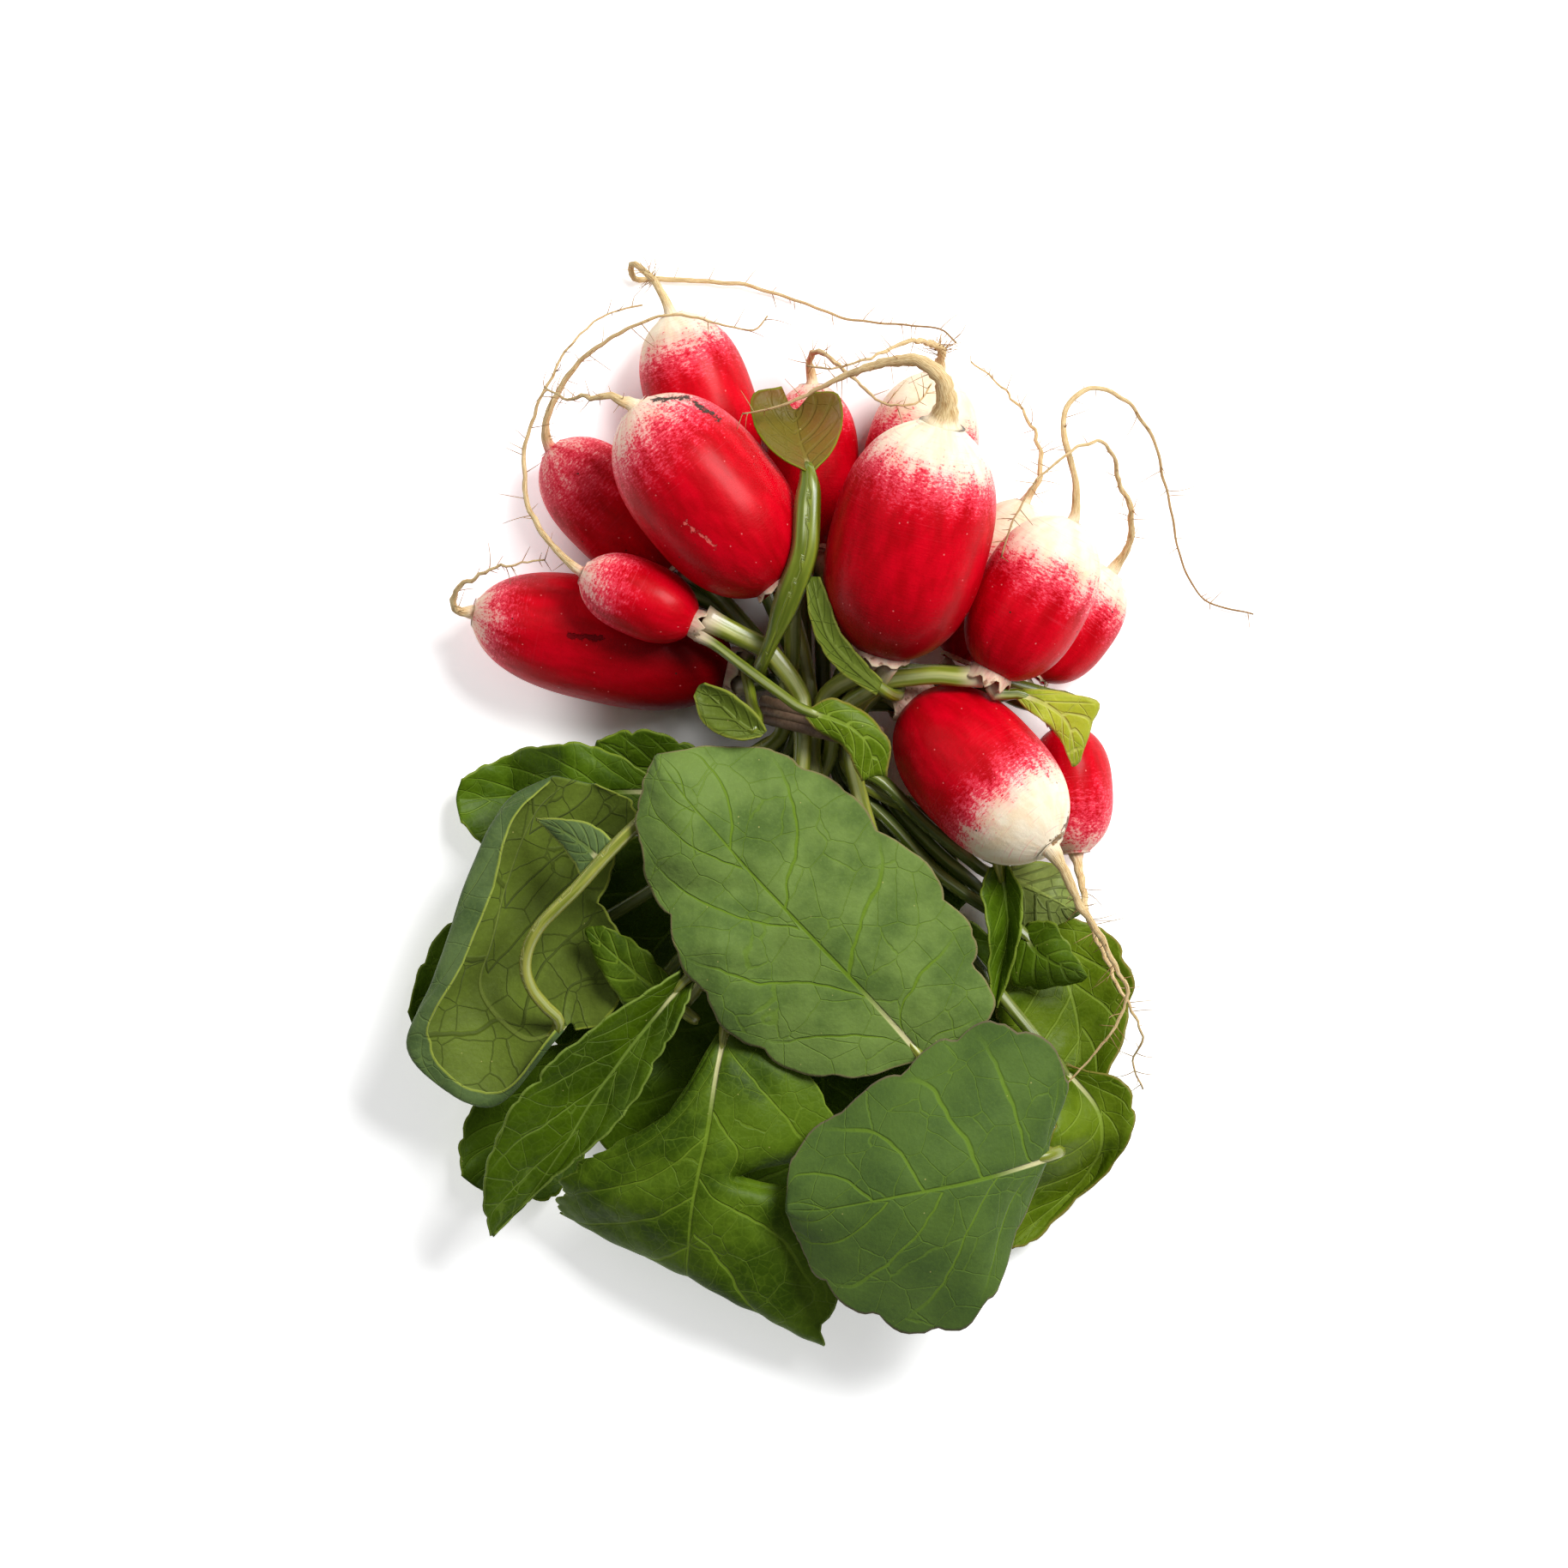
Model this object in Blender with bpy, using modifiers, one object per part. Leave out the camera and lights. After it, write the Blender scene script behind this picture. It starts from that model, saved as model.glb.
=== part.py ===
"""A bunch of French breakfast radishes lying on a table, held by one elastic band.

Thirteen radishes fan out from the band. Each bulb and its tail root grew as one piece. The leaf
stalks run from the crowns through the band, and the blades are folded and heaped behind it.
The tables are in millimetres: +X to the right and +Y towards the tails, as seen from above, with
the band over the point (0, 0) and the table at z = 0. The finished bunch is moved so that the
middle of its box stands on the origin.
"""

import math
from typing import NamedTuple

import bmesh
import bpy
import numpy as np
from mathutils import Matrix, Vector

MM = 0.001

# Bulbs
BULB_SIDES = 14
BULB_RINGS = (0.035, 0.11, 0.24, 0.42, 0.60, 0.77, 0.90, 0.97)
BULB_BARREL = 2.6
NECK_SHARE = 0.36
TIP_SHARE = 0.16

# Tail roots
TAIL_END_WIDTH = 1.0
TAIL_SUNK = 5.0

# The band
BAND_CENTRE = (3.8, 0.0, 20.0)
BAND_INSIDE = (9.8, 11.0)
BAND_STRAND = 1.2
BAND_TURNS = 3
BAND_PITCH = 1.6
BAND_POINTS = 24
BAND_TURN = math.radians(-15)
BAND_HOLD = 6.2

# Leaves
BLADE_THICKNESS = 0.8
BLADE_CLEARANCE = 1.3
STALK_END_WIDTH = 2.4
STALK_GAP = 0.7
STALK_STEP = 2.4
STALK_STRAIGHTNESS = 0.22
RELAX_ROUNDS = 420

# Height field on which the blades are laid
FIELD_LOW = (-110, -140)
FIELD_HIGH = (110, 110)
FIELD_REACH = 10
FIELD_BLUR = 5


class Radish(NamedTuple):
    """A bulb from its crown to its tip, and the points that its tail root passes."""

    name: str
    crown: tuple
    tip: tuple
    width: float
    tail: tuple
    tail_width: float = 2.6


class Leaf(NamedTuple):
    """A blade spanned by lines that run from its base to its tip.

    The lines go from the blade's left edge to its right, seen from its upper side, and each has
    the same number of points. The stalk starts at the named radish. It passes the before points,
    the band at its slot (where it is banded) and the after points. A lobe is a small blade on the
    stalk.
    """

    name: str
    radish: str
    lines: tuple
    teeth: int = 4
    across: int = 4
    cut: float = 0.09
    wave: tuple = (1.0, 2.0, 0.0)
    stalk: float = 3.3
    slot: tuple = (0.0, 0.0)
    before: tuple = ()
    after: tuple = ()
    banded: bool = True
    from_below: bool = False
    lobe: tuple = ()


RADISHES = (
    Radish(
        "radish_back_left", (-14, 47, 10), (-25.5, 80, 10), 21,
        ((-27.5, 84.5, 9), (-30.5, 88.5, 6), (-33, 90, 4), (-33, 87.5, 2), (-27.5, 87.2, 1.5),
         (-14, 86.5, 1.5), (-1, 83, 1.5), (11, 79, 2), (21.5, 78, 5), (27.5, 77, 9), (30, 74.5, 12)),
    ),
    Radish(
        "radish_upper_left", (-4, 27, 32.5), (-32.5, 61.5, 33.5), 28,
        ((-36.5, 63.2, 34.5), (-41, 63.4, 33), (-46.5, 63.4, 29), (-50, 65.5, 26)),
        3.2,
    ),
    Radish(
        "radish_low_left", (-25, 30, 9.6), (-49, 54, 9.6), 20,
        ((-50, 58, 12), (-47, 65.5, 15.5), (-41, 72.5, 19), (-32.5, 77.5, 23), (-24, 79.5, 24.5),
         (-14.5, 77.5, 23), (-9, 76.8, 20), (-6.7, 79.5, 18.5)),
    ),
    Radish(
        "radish_small", (-20.5, 19.5, 29.5), (-42.5, 29.5, 28), 15,
        ((-48.5, 35, 25.5), (-53, 42, 22.5), (-54, 50.5, 21), (-52, 60.5, 20.5), (-49.5, 66, 20.5),
         (-45.5, 73, 20), (-40.5, 78.3, 17), (-35.5, 80.8, 14), (-31, 81.8, 13)),
        2.4,
    ),
    Radish(
        "radish_long", (-13.5, 10.8, 11.2), (-64, 22, 11.2), 24,
        ((-67, 22, 13), (-67.5, 25.5, 16.5), (-63, 29, 20), (-57, 31, 22), (-50, 32, 22.5)),
        2.8,
    ),
    Radish(
        "radish_back_middle", (2, 34.5, 8.6), (2, 66.5, 8.6), 18,
        ((1.5, 70.5, 11.5), (3, 72.5, 17.5), (6.5, 70.5, 22.5), (11, 66, 26.5), (17, 62, 28.5),
         (22.5, 62.5, 29.5), (25, 66, 28)),
    ),
    Radish(
        "radish_back_right", (19, 33.5, 11.5), (26.5, 68.5, 10.6), 22,
        ((27, 72.5, 14.5), (24, 74.5, 21), (18.5, 73.5, 27.5), (12, 70.5, 31), (5.5, 69, 31),
         (1, 69.5, 28.5)),
        3.0,
    ),
    Radish(
        "radish_largest", (15, 13, 32.5), (27, 58, 43), 31,
        ((27.8, 62.5, 45.5), (27, 66.5, 47.5), (23.5, 69.5, 47.5), (18, 70, 45), (11.5, 68.5, 42.5),
         (5.5, 66, 40), (-0.5, 63, 38), (-6, 61, 38), (-11.5, 60, 37.5)),
        4.6,
    ),
    Radish(
        "radish_under", (30, 12.5, 8.1), (43.5, 43.5, 8.1), 17,
        ((46, 47.5, 10), (46, 55.5, 8), (42.5, 62, 6), (37.5, 67.5, 4.5), (33, 71, 4)),
        2.2,
    ),
    Radish(
        "radish_right", (36.5, 9.5, 28.7), (52.5, 39.5, 29.3), 22,
        ((53, 45.5, 31), (51, 55.5, 32), (51, 61, 31), (55, 65, 28), (62.5, 63, 22),
         (68.3, 56, 15), (70.5, 47.5, 10), (73, 37.5, 6), (75, 30, 3), (78.5, 24.7, 1.4),
         (88.3, 21.7, 0.9)),
        2.4,
    ),
    Radish(
        "radish_far_right", (45, 9.5, 9), (60.5, 30, 8.1), 17,
        ((63.5, 34.5, 11), (64, 40, 16), (62, 46.5, 22), (60, 52.5, 29), (57, 54.5, 34),
         (51.5, 52.5, 38.5), (45, 46.7, 39.5), (40.5, 38.5, 39), (38.5, 32.5, 38)),
        2.6,
    ),
    Radish(
        "radish_lower_right", (21.5, 4.5, 18.6), (48, -24, 31), 26,
        ((50.5, -28, 31), (54.5, -36, 29), (59.5, -44.2, 27), (63, -52.5, 25), (61, -58, 24.5),
         (57, -63.5, 25), (51, -70, 26)),
        3.4,
    ),
    Radish(
        "radish_lower_back", (51.5, 0, 7.7), (53.5, -25, 7.7), 16,
        ((54.2, -29, 10.5), (55.3, -36, 15.5), (58, -43, 17), (61, -50, 18.5), (64.5, -56, 18),
         (66, -62, 15), (64.5, -65.5, 12), (66.5, -71, 9)),
        2.8,
    ),
)

# In the order in which they are laid on each other: those that lie on the table first, each
# after the ones that its own stalk passes over.
LOW_LEAVES = (
    Leaf(
        "leaf_under_bulb", "radish_back_right",
        (
            ((16.5, -11.5, 11), (23, -15, 11), (29, -22, 12), (32, -29.5, 12), (32.5, -34, 11)),
            ((15, -12.5, 11), (19, -18, 13), (24, -25, 14), (28.5, -31, 13), (31, -35.5, 11)),
            ((13.5, -13.5, 11), (13, -20, 12), (18, -28, 12), (24, -34, 12), (30, -37, 11)),
        ),
        teeth=6, wave=(0.6, 3, 0), slot=(2.4, -4.6),
    ),
    Leaf(
        "leaf_under_long", "radish_long",
        (
            ((-16, -11, 10), (-25, -15, 8), (-33, -16, 8), (-40, -11, 8)),
            ((-15, -9, 10), (-24, -9, 11), (-33, -8, 11), (-41, -7, 9)),
            ((-16, -7, 10), (-24, -2.5, 14), (-33, -0.5, 15), (-40, -3, 12)),
        ),
        teeth=3, slot=(-7.4, -0.8), before=((-8.8, 7.5, 11.5), (-5.6, 9, 14.5)),
    ),
    Leaf(
        "leaf_left_back", "radish_low_left",
        (
            ((-28, -14.5, 3), (-38, -22, 4), (-50, -27, 6), (-60, -25.5, 7), (-66.5, -19, 8)),
            ((-27, -13, 3), (-38, -13, 3), (-49, -13, 3), (-59, -14, 4), (-67.5, -14.5, 6)),
            ((-28, -11, 3), (-38, -4.5, 4), (-49, -3.2, 5), (-60, -6.5, 6), (-66.5, -10.5, 7)),
        ),
        slot=(-6, -4.4),
    ),
    Leaf(
        "leaf_middle_left", "radish_back_middle",
        (
            ((-11, -26, 5), (-10, -42, 5), (-17, -57, 5), (-29, -66, 5), (-42, -63, 5)),
            ((-12, -24, 5), (-20, -33, 4), (-29, -43, 3), (-38, -53, 3), (-44, -60, 4)),
            ((-14, -23, 5), (-28, -22, 5), (-41, -30, 5), (-47, -43, 5), (-46, -57, 5)),
        ),
        slot=(-3.8, -8),
    ),
    Leaf(
        "leaf_heart_right", "radish_back_right",
        (
            ((18, -36, 7), (32, -43, 6), (42, -55, 5), (47, -68, 5), (38, -80, 6)),
            ((16, -36, 7), (23, -46, 6), (29, -57, 6), (34, -69, 5), (35, -80, 5)),
            ((14, -37, 7), (13, -50, 8), (16, -62, 7), (22, -74, 6), (31, -81, 6)),
        ),
        slot=(3.8, -8),
    ),
    Leaf(
        "leaf_right_side", "radish_far_right",
        (
            ((42, -36.5, 3), (57, -38.5, 5), (64, -46, 8), (64.5, -55, 10), (60.5, -67, 9), (54, -76.5, 7)),
            ((41, -38, 3), (48, -43, 3), (52, -51, 3), (54, -60, 3), (53, -69, 4), (51, -76.5, 6)),
            ((39.5, -39.5, 4), (40, -47, 6), (41, -54, 7), (42, -62, 7), (44, -70, 6), (48, -76.5, 6)),
        ),
        teeth=5, wave=(1.8, 2.5, 0.2), slot=(7.4, -0.8),
    ),
    Leaf(
        "leaf_right_upper", "radish_lower_back",
        (
            ((39.5, -32, 11), (41, -39, 12), (45, -41, 13), (51, -38.5, 12)),
            ((39.5, -29.5, 11), (45, -32, 14), (49, -34, 15), (54, -37, 12)),
            ((41, -27, 11), (49, -26.5, 12), (53, -30.5, 12), (54.5, -36, 11)),
        ),
        teeth=3, slot=(5.8, 4.8),
    ),
    Leaf(
        "leaf_foot", "radish_back_middle",
        (
            ((5, -48, 2), (22, -60, 4), (27, -76, 6), (22, -92, 6), (6, -103, 5)),
            ((3, -48, 2), (4, -62, 2), (4, -76, 2), (2, -90, 2), (0, -103, 3)),
            ((1, -48, 2), (-19, -56, 4), (-32, -71, 6), (-28, -88, 6), (-9, -103, 5)),
        ),
        slot=(0, -8),
    ),
    Leaf(
        "leaf_left_low", "radish_low_left",
        (
            ((-46, -44, 3), (-52, -56, 5), (-60, -64, 6), (-68, -67, 6), (-74, -63, 6)),
            ((-45, -42, 3), (-54, -47, 3), (-62, -52, 3), (-69, -57, 3), (-75.5, -60, 5)),
            ((-46, -40, 3), (-57, -36, 5), (-67, -37, 6), (-74, -45, 6), (-77, -56, 6)),
        ),
        slot=(-3.8, -0.8),
    ),
    Leaf(
        "leaf_right_middle", "radish_lower_back",
        (
            ((44, -38.5, 12), (48.5, -37.8, 15), (51, -41, 15), (53.5, -45, 14), (55.3, -48.6, 12)),
            ((43, -40, 12), (45.5, -44, 14), (48.5, -46, 15), (52, -47.5, 14), (55.5, -49, 12)),
            ((42, -42, 12), (40, -49.5, 11), (44, -51.5, 9), (49, -51.2, 9), (54.5, -50, 10)),
        ),
        wave=(0.8, 2.5, 0.3), slot=(3.8, -0.8),
    ),
    Leaf(
        "leaf_bottom_left", "radish_back_left",
        (
            ((-37, -63, 3), (-40, -78, 5), (-46, -91, 6), (-54, -93, 6), (-62, -91, 6)),
            ((-38, -61, 3), (-46, -70, 3), (-53, -78, 3), (-59, -84, 4), (-64, -90, 5)),
            ((-39, -60, 3), (-53, -64, 5), (-62, -71, 6), (-67, -80, 6), (-66.5, -88, 6)),
        ),
        slot=(-2, -4.4),
    ),
    Leaf(
        "leaf_right_low", "radish_under",
        (
            ((51, -66, 4), (63, -69.5, 5), (65, -77, 6), (61, -86, 6),
             (54, -92.5, 6), (46, -100.5, 6), (41, -102.3, 6)),
            ((50, -66, 4), (57, -74, 3), (58.5, -81, 3), (56, -87, 3),
             (51, -92.5, 4), (45.5, -97, 5), (40.5, -101.5, 6)),
            ((49, -67, 5), (51.5, -75, 9), (53.5, -79, 11), (50.5, -83.5, 11),
             (46.5, -88, 10), (42.5, -93.5, 8), (39.5, -100, 7)),
        ),
        wave=(0.7, 2, 0), slot=(6.6, -4.6),
    ),
)

HIGH_LEAVES = (
    Leaf(
        "leaf_upright", "radish_lower_right",
        (
            ((40, -27, 16), (43, -33, 18), (42.5, -40, 18), (41, -47, 16), (38, -55, 13)),
            ((38.5, -27, 14), (39.5, -33, 13), (40, -40, 12), (38.8, -47, 12), (37.5, -55, 12)),
            ((36, -28, 16), (34.5, -33, 19), (36, -40, 19), (36, -47, 17), (37, -55, 13)),
        ),
        teeth=3, wave=(0.4, 2, 0), slot=(3.4, 2.8), from_below=True,
    ),
    Leaf(
        "leaf_left_cup", "radish_upper_left",
        (
            ((-44, -59.5, 14), (-37, -57, 15), (-34, -46, 17), (-37.5, -34, 17),
             (-35, -23, 17), (-31.5, -16, 17), (-40, -11.5, 15)),
            ((-45, -58, 14), (-47, -50, 13), (-48.5, -42, 12), (-48.5, -34, 12),
             (-47, -26, 12), (-44.5, -18, 13), (-42, -11.3, 14)),
            ((-47, -60, 16), (-60, -72.5, 18), (-74.5, -62, 21), (-70, -48, 22),
             (-65, -32, 22), (-57.5, -16, 20), (-48, -10, 17)),
            ((-48, -59, 17), (-60, -69.5, 21), (-68, -61, 25), (-64.5, -46, 26),
             (-60, -32, 26), (-56.5, -19, 23), (-49, -11, 18)),
        ),
        teeth=6, across=8, wave=(0.9, 2.5, 0.0), slot=(-6, 2.8),
        after=(
            (-22, -12, 30), (-31.7, -19.2, 31), (-43, -31, 30),
            (-53, -43, 27), (-53.5, -49, 24), (-50, -54.5, 20),
        ),
        lobe=(
            ((-43, -29.5, 29), (-44.5, -26.5, 28), (-47.5, -22.5, 26), (-51.5, -18.5, 24)),
            ((-39.5, -26, 29.5), (-42, -23.5, 29), (-46.5, -20.5, 27), (-51.6, -18.3, 24)),
            ((-36.5, -22.5, 30), (-40, -19.5, 29), (-45, -18.3, 27), (-51.5, -18.1, 24)),
        ),
    ),
    Leaf(
        "leaf_inner", "radish_back_left",
        (
            ((-24, -57, 16), (-32, -56.5, 16), (-38, -50, 16), (-41.5, -42, 16)),
            ((-23, -55.5, 16), (-30, -50, 17), (-36, -45, 17), (-42, -39.5, 16)),
            ((-22, -54, 16), (-27, -47, 18), (-32, -42, 18), (-38.5, -39, 17)),
        ),
        teeth=3, slot=(0, -0.8), from_below=True,
    ),
    Leaf(
        "leaf_bottom", "radish_largest",
        (
            ((-13.5, -60, 24), (2, -67, 24), (6, -82, 22), (-11, -87.5, 20), (6, -92, 19),
             (8, -106, 17), (5, -121, 13), (2, -114, 6), (-4, -106, 5)),
            ((-15, -59.5, 24), (-17, -70, 27), (-18.5, -80, 27), (-20.3, -88, 25), (-21.5, -95, 23),
             (-22, -101, 20), (-22.2, -107.3, 15), (-19, -104, 8), (-15, -97, 6)),
            ((-16.5, -60, 24), (-26, -75, 24), (-37, -81.5, 22), (-44, -85, 19), (-47.3, -88.5, 17),
             (-48, -92, 14), (-47.8, -94.8, 10), (-42, -96, 5), (-35, -95, 4)),
        ),
        teeth=7, across=6, wave=(1.0, 2, 0.2), slot=(-1.2, 2.8), from_below=True,
    ),
    Leaf(
        "leaf_narrow", "radish_small",
        (
            ((-20.7, -49.5, 32), (-23, -56.5, 34), (-28, -65.5, 33), (-33.5, -75, 31),
             (-42, -83.3, 28), (-51.5, -91, 23), (-60, -99.5, 19)),
            ((-22, -49, 31), (-28, -56, 31), (-34, -63.5, 30), (-40.5, -72.5, 28),
             (-46, -81.5, 26), (-53, -91.5, 22), (-60.2, -99.2, 19)),
            ((-23.5, -47.5, 34), (-33, -53.3, 36), (-43, -60.3, 36), (-52, -68.5, 34),
             (-59, -78.5, 31), (-62.2, -90.5, 26), (-60.7, -99.3, 19)),
        ),
        teeth=6, cut=0.05, wave=(0.6, 2, 0.0), stalk=4.2, slot=(1.5, 9), from_below=True,
        before=((-16, 17.5, 32), (-8, 13, 33.5), (1, 8.5, 32)),
    ),
    Leaf(
        "leaf_oval", "radish_largest",
        (
            ((21.5, -65.5, 25), (7, -69, 24), (-9, -64, 25), (-20, -53, 27),
             (-27, -38, 29), (-32, -24, 30), (-31.5, -13, 31), (-28.5, -6.3, 32)),
            ((23, -64, 25), (14.5, -54.5, 29), (6, -45.5, 32), (-2.5, -36.5, 34),
             (-10.5, -28, 35), (-17.5, -20, 35), (-23.5, -13, 34), (-28.3, -6, 33)),
            ((24.5, -63.5, 25), (37, -58, 26), (35.5, -47, 27), (30, -33.5, 28),
             (17, -20, 30), (1, -7.2, 31), (-14, -3.8, 31), (-28, -5.8, 32)),
        ),
        teeth=7, across=6, wave=(0.8, 2, 0.0), stalk=3.8, slot=(-3.2, 6.4), from_below=True,
    ),
    Leaf(
        "leaf_fan", "radish_right",
        (
            ((46.8, -86, 26), (41.5, -99.5, 25), (36, -113.5, 24), (26, -119, 23),
             (14, -116, 24), (4.5, -109.5, 25), (-0.5, -101, 26), (-3, -94.5, 28)),
            ((47.5, -84.2, 27), (40, -86.5, 31), (32.5, -88.5, 34), (25, -90, 35),
             (17, -91.5, 35), (9.5, -93, 33), (3, -94, 31), (-3.2, -94, 29)),
            ((48, -80, 27), (51.7, -67, 29), (42, -57.5, 29), (30, -59, 28),
             (20, -65.5, 28), (8, -73.5, 28), (-1.5, -82.5, 28), (-3, -92, 28)),
        ),
        teeth=7, across=6, wave=(0.8, 2.5, 0.6), stalk=3.8, slot=(4.4, 6.4), from_below=True,
    ),
)

SMALL_LEAVES = (
    Leaf(
        "leaf_heart", "radish_long",
        (
            ((0.5, 49, 40), (-5, 52, 39), (-9.5, 58, 35), (-9.5, 64, 32), (-4, 65.5, 31)),
            ((1.5, 49, 39), (0.5, 52, 36.5), (-0.5, 55, 34), (-1, 58, 32), (-1.5, 61, 31)),
            ((2.5, 49, 39), (6, 53, 35), (8, 58.5, 32), (7, 64, 31), (2, 64.5, 31)),
        ),
        teeth=2, cut=0.02, wave=(0.2, 1, 0), stalk=2.6, banded=False,
        before=(
            (-8.5, 9.2, 13), (-4.8, 9.5, 19), (-3.8, 9.5, 29), (-3.5, 9.5, 37),
            (-3.8, 18, 41), (-3.6, 30, 45), (-1, 41, 43.5),
        ),
    ),
    Leaf(
        "leaf_strap", "radish_lower_right",
        (
            ((15.5, 8.6, 36), (11, 13.5, 38.7), (7.2, 18.5, 40), (5.5, 23.5, 40), (3.5, 28.5, 39)),
            ((15, 7, 36), (9.5, 11.5, 38.5), (5.3, 16.5, 39.5), (3.3, 22.3, 39.5), (2, 28.5, 38.5)),
            ((14.3, 5.6, 36), (7.8, 9.7, 38.3), (3.4, 15, 39.5), (1.2, 21.5, 39.5), (0.7, 28, 38.5)),
        ),
        teeth=2, across=2, cut=0.0, wave=(0.2, 1, 0), stalk=2.4, banded=False,
        before=((19, 7.2, 22), (18.2, 7.3, 28),),
    ),
    Leaf(
        "leaf_thin_stalk", "radish_small",
        (
            ((1.5, 3.2, 38), (6, 5.3, 38), (12, 2.5, 37.5), (17, -3, 36.5), (16.5, -10, 35.5)),
            ((1, 2.2, 38), (5, 1.4, 38.5), (9.8, -0.8, 38), (13, -4.5, 37), (14, -10, 35.5)),
            ((0.5, 1.2, 38), (3.5, -1.8, 37.5), (7.5, -4, 37), (9.5, -7.5, 36.5), (11.5, -11, 35.5)),
        ),
        teeth=3, across=4, stalk=2.0, wave=(0.6, 1.5, 0), banded=False,
        before=((-17.5, 16.5, 33), (-13, 11, 36.5), (-9, 6.8, 38), (-4, 3.6, 38.3)),
    ),
    Leaf(
        "leaf_folded", "radish_long",
        (
            ((-6.8, -1.2, 34.6), (-8.5, 1.7, 36), (-13.5, 6, 36.5), (-18.8, 8, 35)),
            ((-7.4, -1.8, 34.2), (-11, -0.5, 34.3), (-16, 4, 34), (-20, 7.5, 33.5)),
            ((-8, -2.4, 34.6), (-13, -3, 35), (-19, 0, 34.5), (-21, 5.5, 34)),
        ),
        teeth=2, across=2, cut=0.0, wave=(0.2, 1, 0), stalk=2.2, banded=False,
        before=((-9.8, 13, 14), (-8.8, 13, 21), (-8.6, 9, 29), (-8, 4.5, 33.9), (-7.4, 0.5, 34.6)),
    ),
    Leaf(
        "leaf_torn", "radish_right",
        (
            ((43, 7, 27), (50, 6.5, 28), (57.5, 4.5, 27), (56, -1, 26), (54, -7, 24)),
            ((42, 6, 27), (47, 4, 28), (51, 1, 27), (52.5, -3, 26), (53, -8, 24)),
            ((41.5, 5, 27), (44.5, 2, 28), (48, -0.5, 27), (50.5, -4, 26), (52.3, -8, 24)),
        ),
        teeth=3, across=2, stalk=2.2, wave=(0.7, 2, 0.3), banded=False,
        before=((38.5, 5.8, 26.3),),
    ),
)


def spline(points, at):
    """Points of a Catmull-Rom curve through the given ones, at 0 for the first and 1 for the last."""
    p = np.array(points, float)
    p = np.concatenate([[2 * p[0] - p[1]], p, [2 * p[-1] - p[-2]]])
    place = np.clip(np.asarray(at, float), 0, 1) * (len(p) - 3)
    k = np.minimum(place.astype(int), len(p) - 4)
    t = (place - k).reshape(-1, *[1] * (p.ndim - 1))
    a, b, c, d = p[k], p[k + 1], p[k + 2], p[k + 3]
    bend = (2 * a - 5 * b + 4 * c - d) * t**2 + (3 * b - a - 3 * c + d) * t**3
    return 0.5 * (2 * b + (c - a) * t + bend)


def smooth_path(points, step):
    """Points an even distance apart on a smooth curve through the given ones."""
    p = np.array(points, float)
    gap = np.linalg.norm(np.diff(p, axis=0), axis=1)[:, None]
    slope = np.diff(p, axis=0) / gap
    turn = (slope[:-1] * gap[1:] + slope[1:] * gap[:-1]) / (gap[1:] + gap[:-1])
    slope = np.vstack([slope[:1], turn, slope[-1:]])
    t = np.linspace(0, 1, 20, endpoint=False)[:, None, None]
    rise = t * t * (3 - 2 * t)
    early, late = t * (1 - t) ** 2, t * t * (t - 1)
    line = p[:-1] + (p[1:] - p[:-1]) * rise + gap * (slope[:-1] * early + slope[1:] * late)
    line = np.vstack([np.swapaxes(line, 0, 1).reshape(-1, 3), p[-1:]])
    run = np.concatenate([[0], np.cumsum(np.linalg.norm(np.diff(line, axis=0), axis=1))])
    where = np.linspace(0, run[-1], max(3, int(round(run[-1] / step)) + 1))
    return np.stack([np.interp(where, run, line[:, k]) for k in range(3)], axis=1)


def thinned(points, tolerance):
    """Indices of the fewer points that keep the line within the tolerance."""
    keep = [0, len(points) - 1]

    def split(first, last):
        if last - first < 2:
            return
        a, b = points[first], points[last]
        inner = points[first + 1 : last]
        along = np.clip((inner - a) @ (b - a) / max((b - a) @ (b - a), 1e-9), 0, 1)
        off = np.linalg.norm(inner - a - along[:, None] * (b - a), axis=1)
        worst = int(off.argmax())
        if off[worst] > tolerance:
            keep.append(first + 1 + worst)
            split(first, first + 1 + worst)
            split(first + 1 + worst, last)

    split(0, len(points) - 1)
    return sorted(keep)


def bulb_share(along):
    """A bulb's radius as a share of its widest, from the crown at 0 to the tip at 1."""
    return np.sqrt(np.maximum(1 - np.abs(2 * np.asarray(along, float) - 1) ** BULB_BARREL, 0))


def blade_surface(lines, teeth, cut, wave, rows, columns):
    """Middle surface of a blade as points from base to tip and from its left edge to its right."""
    s = np.linspace(0, 1, rows + 1)
    along = np.stack([spline(line, s) for line in lines])
    grid = np.moveaxis(spline(along, np.linspace(0, 1, columns + 1)), 0, 1)
    reach = np.abs(np.linspace(-1, 1, columns + 1))
    middle = grid[:, columns // 2 : columns // 2 + 1]
    dent = cut * (1 - np.abs(np.sin(math.pi * teeth * s)) ** 0.7) * np.sin(math.pi * s) ** 0.3
    grid = grid + (middle - grid) * (dent[:, None] * reach**4)[..., None]
    amount, count, phase = wave
    ease = np.sin(math.pi * s) ** 0.5
    left_right = np.where(np.arange(columns + 1) < columns / 2, 0.0, 1.1)
    lift = amount * reach**2 * np.sin(2 * math.pi * (count * s[:, None] + phase) + left_right)
    grid[..., 2] += lift * ease[:, None]
    return grid


def leaf_surface(leaf, rows, columns):
    return blade_surface(leaf.lines, leaf.teeth, leaf.cut, leaf.wave, rows, columns)


def grid_triangles(rows, columns):
    """Triangles of a grid of points, with their normals to its upper side."""
    index = np.arange((rows + 1) * (columns + 1)).reshape(rows + 1, columns + 1)
    a, b, c, d = index[:-1, :-1], index[:-1, 1:], index[1:, 1:], index[1:, :-1]
    quads = np.stack([a, b, c, d], axis=-1).reshape(-1, 4)
    return np.vstack([quads[:, [0, 1, 2]], quads[:, [0, 2, 3]]])


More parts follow.
